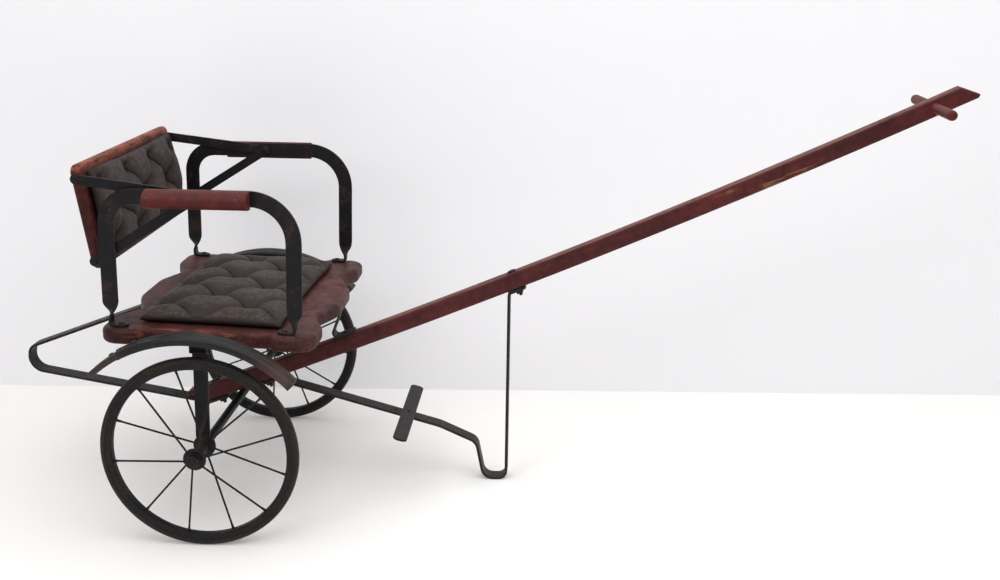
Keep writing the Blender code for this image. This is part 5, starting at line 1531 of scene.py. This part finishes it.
@dataclass
class PoleIrons:
    """Straps and bolts on the pole: the parking leg, footrest, rear loop and seat bracket."""

    bench: Bench
    pole: Pole
    stand_rear_bolt: float = 40.0 * MM
    stand_front_bolt: float = 469.0 * MM
    loop_bolt: float = -43.0 * MM
    stand_leaves_pole: float = 60.0 * MM
    stand_shoulder: tuple[float, float] = (401.5 * MM, 68.6 * MM)
    foot_rear: float = 413.3 * MM
    foot_front: float = 451.6 * MM
    leg_top: float = 458.6 * MM
    stand_rivet: float = 263.0 * MM
    footrest_place: float = 284.0 * MM
    footrest_thickness: float = 4.0 * MM
    footrest_half: tuple[float, float] = (11.75 * MM, 123.0 * MM)
    loop_high_corner: tuple[float, float] = (-361.8 * MM, 234.2 * MM)
    bracket_thickness: float = 3.5 * MM
    bracket_bolt: float = 184.0 * MM

    def _strap(self, path: list[Vector], extras: Sequence[bmesh.types.BMesh], name: str, node: str,
               width: float = 25.4 * MM, thickness: float = FLAT_BAR) -> None:
        """Build one bent strap with its small parts."""
        radius = 6.0 * MM
        longer = with_end_points(path, radius)
        stations = along(longer, Vector((0, 1, 0)), rounded_end(radius, width), ALONG_UP)
        bar = sweep(stations, width, thickness, 0.7 * MM)
        self.bench.piece(joined([bar, *extras]), name, STRAP_IRON, "cart", (node,), self.bench.ground)

    def build(self) -> None:
        """Build the straps, the footrest and the bolts."""
        self._stand()
        self._footrest()
        self._loop()
        self._bracket()
        self._bolt("stand_rear_bolt", self.stand_rear_bolt, True)
        self._bolt("stand_front_bolt", self.stand_front_bolt, False)
        self._bolt("loop_bolt", self.loop_bolt, False)

    def _on_stand(self, x: float) -> tuple[Vector, Vector]:
        """Return the stand strap's middle line at x, behind its knee, and its direction there."""
        start = self.pole.underside(self.stand_leaves_pole, FIT_GAP + FLAT_BAR / 2)
        run = (Vector(STAND_KNEE) - start).normalized()
        return start + run * (x - start.x) / run.x, run

    @staticmethod
    def _tilted(spot: Vector, run: Vector) -> Matrix:
        """Return the matrix of a place in the middle plane whose X lies along a run."""
        return Matrix.Translation((spot.x, 0, spot.y)) @ Matrix.Rotation(
            -math.atan2(run.y, run.x), 4, "Y")

    def _stand(self) -> None:
        """Build the strap that carries the footrest and forms the parking leg."""
        off = FIT_GAP + FLAT_BAR / 2
        under = self.pole.underside
        corners = [under(12.0 * MM, off), under(self.stand_leaves_pole, off), STAND_KNEE,
                   self.stand_shoulder, (self.foot_rear, FLAT_BAR / 2),
                   (self.foot_front, FLAT_BAR / 2), under(self.leg_top, off), under(486.0 * MM, off)]
        path = bent_path(corners, [r * MM for r in (6.0, 60.0, 20.0, 19.0, 14.0, 6.0)])
        rivet = moved(dome(3.6 * MM, 2.0 * MM, 24), self._tilted(*self._on_stand(self.stand_rivet))
                      @ Matrix.Translation((0, 0, FLAT_BAR / 2 - 0.1 * MM)))
        self._strap(path, [rivet], "stand_leg", "stand_strap")

    def _footrest(self) -> None:
        """Build the cross bar that the rider's feet rest on."""
        spot, run = self._on_stand(self.footrest_place)
        lift = FLAT_BAR / 2 + FIT_GAP + self.footrest_thickness / 2
        edge, end = self.footrest_half
        bm = plate([(-edge, -end), (edge, -end), (edge, end), (-edge, end)],
                   9.0 * MM, self.footrest_thickness, 0.8 * MM, 3, 8)
        rivet = moved(dome(4.2 * MM, 2.0 * MM, 24), Matrix.Translation((0, 0, 1.9 * MM)))
        place = self.bench.ground @ self._tilted(spot + Vector((-run.y, run.x)) * lift, run)
        self.bench.piece(joined([bm, rivet]), "footrest_iron", STRAP_IRON, "cart",
                         ("footrest_bar",), place)

    def _lean(self, x: float, w: float) -> Vector:
        """Return the (along, up) of a point of the seat's leaning frame."""
        return Vector((x * math.cos(SEAT_TILT) + w * math.sin(SEAT_TILT),
                       WHEEL_RADIUS - x * math.sin(SEAT_TILT) + w * math.cos(SEAT_TILT)))

    def _loop(self) -> None:
        """Build the strap that runs behind the cart from the pole to the seat."""
        off = FIT_GAP + FLAT_BAR / 2
        under = SEAT_UNDERSIDE - off
        corners = [self.pole.underside(-26.0 * MM, off),
                   self.pole.underside(self.pole.loop_bend, off), LOOP_LOW_CORNER,
                   self.loop_high_corner, self._lean(-149.7 * MM, under),
                   self._lean(-100.0 * MM, under)]
        path = bent_path(corners, [r * MM for r in (2.5, 26.0, 16.2, 20.0)])
        self._strap(path, [], "loop_strap", "rear_loop")

    def _bracket(self) -> None:
        """Build the bent strap between the seat's front and the pole."""
        off = FIT_GAP + self.bracket_thickness / 2
        under = SEAT_UNDERSIDE - off
        corners = [self.pole.topside(200.0 * MM, off), self.pole.topside(158.0 * MM, off),
                   self._lean(170.0 * MM, under), self._lean(126.0 * MM, under)]
        path = bent_path(corners, [7.0 * MM, 7.0 * MM])
        x = self.bracket_bolt
        head = moved(dome(5.0 * MM, 2.6 * MM, 22), Matrix.Translation((x, 0, self.pole.topside(x, 0).y))
                     @ Matrix.Rotation(-self.pole.slope(x), 4, "Y") @ Matrix.Translation((0, 0, 3.6 * MM)))
        self._strap(path, [head], "seat_strap", "seat_bracket", 24.0 * MM, self.bracket_thickness)

    def _bolt(self, name: str, x: float, winged: bool) -> None:
        """Build one bolt through the pole, its head above and its nut below."""
        slope = self.pole.slope(x)
        upper = self.pole.depth / 2 * math.cos(slope) + FIT_GAP
        lower = self.pole.depth / 2 * math.cos(slope) + FLAT_BAR + 2 * FIT_GAP
        head = moved(dome(8.0 * MM, 3.0 * MM, 32), Matrix.Translation((0, 0, upper)))
        shank = wire(Vector((0, 0, -lower - 9.0 * MM)), Vector((0, 0, upper + 1.0 * MM)), 3.0 * MM, None, 20)
        nut = moved(square_nut(11.0 * MM, 5.0 * MM), Matrix.Translation((0, 0, -lower - 5.0 * MM)))
        shells = [head, shank, nut]
        if winged:
            for sign in (-1, 1):
                corners = [(0, -2.4), (2.6, -2.4), (4.8, 2.4), (1.2, 2.4)]
                ear = plate([(x_mm * MM, y_mm * MM) for x_mm, y_mm in corners], 1.2 * MM, 2.0 * MM,
                            0.5 * MM, 2, 4)
                shells.append(moved(ear, Matrix.Translation((0, 0, -lower - 3.4 * MM))
                                    @ Matrix.Rotation(math.pi if sign < 0 else 0, 4, "Z")
                                    @ Matrix.Rotation(-QUARTER, 4, "X")))
        place = (self.bench.ground @ Matrix.Translation((x, 0, self.pole.height(x)))
                 @ Matrix.Rotation(-slope, 4, "Y"))
        self.bench.piece(joined(shells), name + "_iron", ARM_IRON, "cart", (name,), place)


@dataclass
class TuftedPad:
    """Tufted cushion: a soft crowned pad, blown up as cloth and then pleated between its tufts."""

    bench: Bench
    name: str
    node: str
    place: Matrix
    length: float
    width: float
    height: float
    tuft_origin: tuple[float, float]
    tuft_step: tuple[float, float]
    edge_height: float = 12.0 * MM
    corner_height: float = 4.5 * MM
    voxel: float = 5.2 * MM
    cap: float = 6.0 * MM
    pull: float = 0.025

    def _diamond(self, x: float, y: float) -> tuple[float, float]:
        """Return the point's place in the grid of diamonds between the tufts."""
        u = (x - self.tuft_origin[0]) / self.tuft_step[0]
        v = (y - self.tuft_origin[1]) / self.tuft_step[1]
        return (u + v) / 2, (u - v) / 2

    def _inside(self, x: float, y: float) -> float:
        """Return the distance from the nearest edge of the pad's plan."""
        return min(self.length / 2 - abs(x), self.width / 2 - abs(y))

    def _pleat(self, x: float, y: float) -> tuple[float, float]:
        """Return the distances from the two nearest pleats, positive on their +Y side."""
        a, b = self._diamond(x, y)
        scale = 2 / math.hypot(1 / self.tuft_step[0], 1 / self.tuft_step[1])
        return (a - round(a)) * scale, (round(b) - b) * scale

    def _tuft(self, x: float, y: float, reach: float) -> float:
        """Return how close a point is to a tuft, 1 on it and 0 beyond the reach."""
        a, b = self._diamond(x, y)
        da, db = a - round(a), b - round(b)
        dx = (da + db) * self.tuft_step[0]
        dy = (da - db) * self.tuft_step[1]
        return math.exp(-(math.hypot(dx, dy) / reach) ** 2)

    def _edge(self, x: float, y: float) -> float:
        """Return the pad's height at its edge, which is least at the corners."""
        gap = math.hypot(self.length / 2 - abs(x), self.width / 2 - abs(y))
        flat = math.exp(-(gap / (38.0 * MM)) ** 2)
        return self.edge_height + (self.corner_height - self.edge_height) * flat

    def _top(self, x: float, y: float) -> float:
        """Return the height of the pad's upper face before it is blown up."""
        inside = max(self._inside(x, y), 0.0)
        edge = self._edge(x, y)
        crown = 1 - (1 - min(inside / (48.0 * MM), 1.0)) ** 2.2
        tall = edge + (self.height - 3.0 * MM - edge) * crown
        near = min(abs(gap) for gap in self._pleat(x, y))
        dip = self._tuft(x, y, 21.0 * MM) * 0.62 + math.exp(-(near / (7.0 * MM)) ** 2) * 0.12
        return tall - (tall - self.corner_height) * min(dip, 1.0) * min(inside / (16.0 * MM), 1.0)

    def _plan(self, x: float, y: float) -> tuple[float, float]:
        """Return a point's place after the sides are pulled in between the corners."""
        fx, fy = 2 * x / self.length, 2 * y / self.width
        return x * (1 - self.pull * (1 - fy * fy)), y * (1 - self.pull * 0.6 * (1 - fx * fx))

    def _body(self) -> bpy.types.Object:
        """Build the pad's starting shape, a little under size."""
        bm = bmesh.new()
        size = Matrix.Diagonal((self.length - 4.0 * MM, self.width - 4.0 * MM, 1, 1))
        bmesh.ops.create_grid(bm, x_segments=64, y_segments=104, size=0.5, matrix=size)
        grown = bmesh.ops.extrude_face_region(bm, geom=bm.faces[:])
        top = {part for part in grown["geom"] if isinstance(part, bmesh.types.BMVert)}
        for vert in bm.verts:
            x, y = vert.co.x, vert.co.y
            inside = max(self._inside(x, y), 0.0)
            low = 2.6 * MM * (1 - min(inside / (12.0 * MM), 1.0)) ** 2
            px, py = self._plan(x, y)
            vert.co = Vector((px, py, self._top(x, y) if vert in top else low))
        bmesh.ops.recalc_face_normals(bm, faces=bm.faces[:])
        mesh = bpy.data.meshes.new(self.name)
        bm.to_mesh(mesh)
        bm.free()
        item = bpy.data.objects.new(self.name, mesh)
        bpy.context.scene.collection.objects.link(item)
        return item

    @staticmethod
    def _baked(item: bpy.types.Object) -> None:
        """Apply the object's modifiers to its mesh."""
        bpy.context.view_layer.update()
        graph = bpy.context.evaluated_depsgraph_get()
        mesh = bpy.data.meshes.new_from_object(item.evaluated_get(graph))
        old = item.data
        item.modifiers.clear()
        item.data = mesh
        bpy.data.meshes.remove(old)

    def _blow_up(self, item: bpy.types.Object) -> None:
        """Blow the pad up as cloth, held at its base and its tufts."""
        rest = [vert.co.copy() for vert in item.data.vertices]
        held = item.vertex_groups.new(name="held")
        for vert in item.data.vertices:
            x, y, z = vert.co
            grip = 1.0 if z < 1.6 * MM else self._tuft(x, y, 9.0 * MM)
            if grip > 0.05:
                held.add([vert.index], min(grip, 1.0), "REPLACE")
        cloth = item.modifiers.new("stuffing", "CLOTH")
        settings = cloth.settings
        settings.quality = 6
        settings.mass = 0.25
        settings.tension_stiffness = 15.0
        settings.compression_stiffness = 15.0
        settings.shear_stiffness = 6.0
        settings.bending_stiffness = 0.4
        settings.use_pressure = True
        settings.uniform_pressure_force = 4.0
        settings.effector_weights.gravity = 0.0
        settings.vertex_group_mass = "held"
        scene = bpy.context.scene
        for number in range(1, 21):
            scene.frame_set(number)
        self._baked(item)
        scene.frame_set(1)
        for vert, start in zip(item.data.vertices, rest):
            shift = vert.co - start
            if shift.length > self.cap:
                vert.co = start + shift * (self.cap / shift.length)

    def _pressed(self, gap: float) -> float:
        """Return the depth of a pleat at a distance: steep before it, a long slope behind."""
        if gap > 0:
            return 1.5 * math.exp(-gap / (5.5 * MM)) + 1.3 * math.exp(-(gap / (1.4 * MM)) ** 2)
        return 2.8 * math.exp(-(gap / (1.5 * MM)) ** 2)

    def _dress(self, item: bpy.types.Object) -> None:
        """Press the pleats and the tufts in, and mark them, with the low walls, for the finish's painted
        shade.
        """
        finer = item.modifiers.new("finer", "SUBSURF")
        finer.levels = 2
        finer.render_levels = 2
        self._baked(item)
        mesh = item.data
        shaded_creases, crowns = [], []
        normals = [vert.normal.copy() for vert in mesh.vertices]
        for vert, normal in zip(mesh.vertices, normals):
            x, y, z = vert.co
            stray = Vector((x, y, 0.3))
            wobble = (noise.noise(stray * 24.0) * 3.4 + noise.noise(stray * 90.0) * 0.9) * MM
            upper = min(max((z - 6.0 * MM) / (5.0 * MM), 0.0), 1.0) * max(normal.z, 0.0) ** 0.5
            border = min(max((self._inside(x, y) - 4.0 * MM) / (26.0 * MM), 0.0), 1.0)
            depth = line = 0.0
            for gap in self._pleat(x + wobble, y - wobble):
                depth = max(depth, self._pressed(gap))
                line = max(line, math.exp(-(gap / (1.3 * MM)) ** 2))
            tuft = self._tuft(x, y, 7.0 * MM)
            fold = noise.noise(Vector((x * 40.0, y * 40.0, 3.1)))
            ripple = noise.noise(Vector((x * 120.0, y * 120.0, 7.7))) * 0.3
            sink = (depth * border + tuft * 2.0 - fold * 0.9) * upper - ripple
            vert.co -= normal * sink * MM
            # The pad's low walls are marked for painted shade too.
            wall_shade = max(1.0 - z / (12.0 * MM), 0.0) * 0.9
            shaded_creases.append(min(max((line * border + tuft * 0.6) * upper, wall_shade), 1.0))
            crowns.append(min(max(1 - depth * border - tuft, 0.0), 1.0) * upper)
        limit = self.height + 3.0 * MM
        for vert in mesh.vertices:
            vert.co.z = min(max(vert.co.z, 0.0), limit)
        for name, values in (("crease", shaded_creases), ("crown", crowns)):
            mesh.attributes.new(name, "FLOAT", "POINT").data.foreach_set("value", values)

    def build(self) -> None:
        """Build the cushion."""
        item = self._body()
        remesh = item.modifiers.new("even_mesh", "REMESH")
        remesh.mode = "VOXEL"
        remesh.voxel_size = self.voxel
        self._baked(item)
        self._blow_up(item)
        self._dress(item)
        mesh = item.data
        mesh.transform(self.place)
        mesh.shade_smooth()
        mesh.materials.clear()
        mesh.materials.append(self.bench.finishes.get(HIDE))
        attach(item, "cart")
        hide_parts(self.node)
        log.info("%s: %d faces", self.name, len(mesh.polygons))


@dataclass
class Studio:
    """Floor, backdrop, lights and camera."""

    axle_x: float
    camera_ahead: float = 0.5535
    camera_beside: float = -1.9123
    camera_height: float = 0.8887
    yaw: float = 0.0571
    pitch: float = 0.2803
    roll: float = -0.010
    lens: float = 43.2

    def build(self) -> None:
        """Build the stage and the camera."""
        bpy.context.scene.view_settings.view_transform = "Standard"
        self._surface("studio_floor", StageSurface("floor_finish", (0.86, 0.85, 0.835), 0.18),
                      Matrix.Translation((0, 3.0, 0)) @ Matrix.Diagonal((14, 14, 1, 1)))
        self._surface("studio_backdrop", StageSurface("backdrop_finish", (0.82, 0.812, 0.83), 0.24),
                      Matrix.Translation((0, 0.42, 3.0)) @ Matrix.Rotation(QUARTER, 4, "X")
                      @ Matrix.Diagonal((14, 6, 1, 1)))
        self._light("ceiling_light", (0.2, -0.7, 2.6), (0, 0, 0.2), 3.6, 84.0)
        self._light("near_light", (-1.6, -2.6, 1.9), (0, 0, 0.3), 1.2, 13.0)
        self._world()
        self._camera()

    @staticmethod
    def _surface(name: str, finish: StageSurface, place: Matrix) -> None:
        """Build one stage surface."""
        bm = bmesh.new()
        bmesh.ops.create_grid(bm, x_segments=1, y_segments=1, size=0.5, matrix=place)
        mesh = bpy.data.meshes.new(name)
        bm.to_mesh(mesh)
        bm.free()
        mesh.materials.append(finish.material())
        item = bpy.data.objects.new(name, mesh)
        bpy.context.scene.collection.objects.link(item)

    @staticmethod
    def _light(name: str, at: Sequence[float], aim: Sequence[float], size: float, power: float) -> None:
        """Add a soft light that faces a point."""
        lamp = bpy.data.lights.new(name, "AREA")
        lamp.shape = "SQUARE"
        lamp.size = size
        lamp.energy = power
        item = bpy.data.objects.new(name, lamp)
        item.location = at
        item.rotation_euler = (Vector(at) - Vector(aim)).to_track_quat("Z", "Y").to_euler()
        bpy.context.scene.collection.objects.link(item)

    @staticmethod
    def _world() -> None:
        """Light the scene evenly from all round."""
        world = bpy.data.worlds.new("studio_world")
        world.use_nodes = True
        shade = world.node_tree.nodes["Background"]
        shade.inputs["Color"].default_value = (1.0, 1.0, 1.0, 1.0)
        shade.inputs["Strength"].default_value = 0.26
        bpy.context.scene.world = world

    def _camera(self) -> None:
        """Put the camera where the photograph was taken from."""
        forward = Vector((-math.sin(self.yaw) * math.cos(self.pitch),
                          math.cos(self.yaw) * math.cos(self.pitch), -math.sin(self.pitch)))
        right = Vector((math.cos(self.yaw), math.sin(self.yaw), 0))
        up = right.cross(forward)
        rolled_right = right * math.cos(self.roll) + up * math.sin(self.roll)
        rolled_up = up * math.cos(self.roll) - right * math.sin(self.roll)
        data = bpy.data.cameras.new("studio_camera")
        data.lens = self.lens
        data.sensor_width = 36.0
        data.sensor_fit = "HORIZONTAL"
        item = bpy.data.objects.new("studio_camera", data)
        columns = Matrix((rolled_right, rolled_up, -forward)).transposed().to_4x4()
        place = (self.axle_x + self.camera_ahead, self.camera_beside, self.camera_height)
        item.matrix_world = Matrix.Translation(place) @ columns
        bpy.context.scene.collection.objects.link(item)
        bpy.context.scene.camera = item


RIGHT_SPOKES = (13.4, 41.6, 74.3, 101.5, 129.6, 157.9, 186.5, 226.8, 258.5, 288.4, 315.2, 344.6)
LEFT_SPOKES = tuple(22.5 + 30.0 * k for k in range(12))


def main() -> None:
    """Build every piece of the cart and the studio in order."""
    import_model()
    bench = Bench()
    Studio(bench.axle.x).build()
    for side, angles in ((Side.RIGHT, RIGHT_SPOKES), (Side.LEFT, LEFT_SPOKES)):
        Wheel(bench, side, angles).build()
        Mudguard(bench, side).build()
        Arm(bench, side).build()
        Upright(bench, side).build()
    Axle(bench).build()
    SeatBoard(bench).build()
    back = Backrest(bench)
    back.build()
    pole = Pole(bench)
    pole.build()
    PoleIrons(bench, pole).build()
    on_seat = (bench.leaning @ Matrix.Translation((8.0 * MM, -11.0 * MM, SEAT_TOP + FIT_GAP))
               @ Matrix.Rotation(math.radians(-1.5), 4, "Z"))
    TuftedPad(bench, "seat_pad", "seat_cushion", on_seat, 226.0 * MM, 378.8 * MM, 28.0 * MM,
              (-20.5 * MM, 36.0 * MM), (67.0 * MM, 55.0 * MM)).build()
    TuftedPad(bench, "back_pad", "back_cushion", back.frame(FIT_GAP), 142.0 * MM, 382.8 * MM,
              26.0 * MM, (0.0, 0.0), (48.0 * MM, 55.0 * MM)).build()


if __name__ == "__main__":
    main()
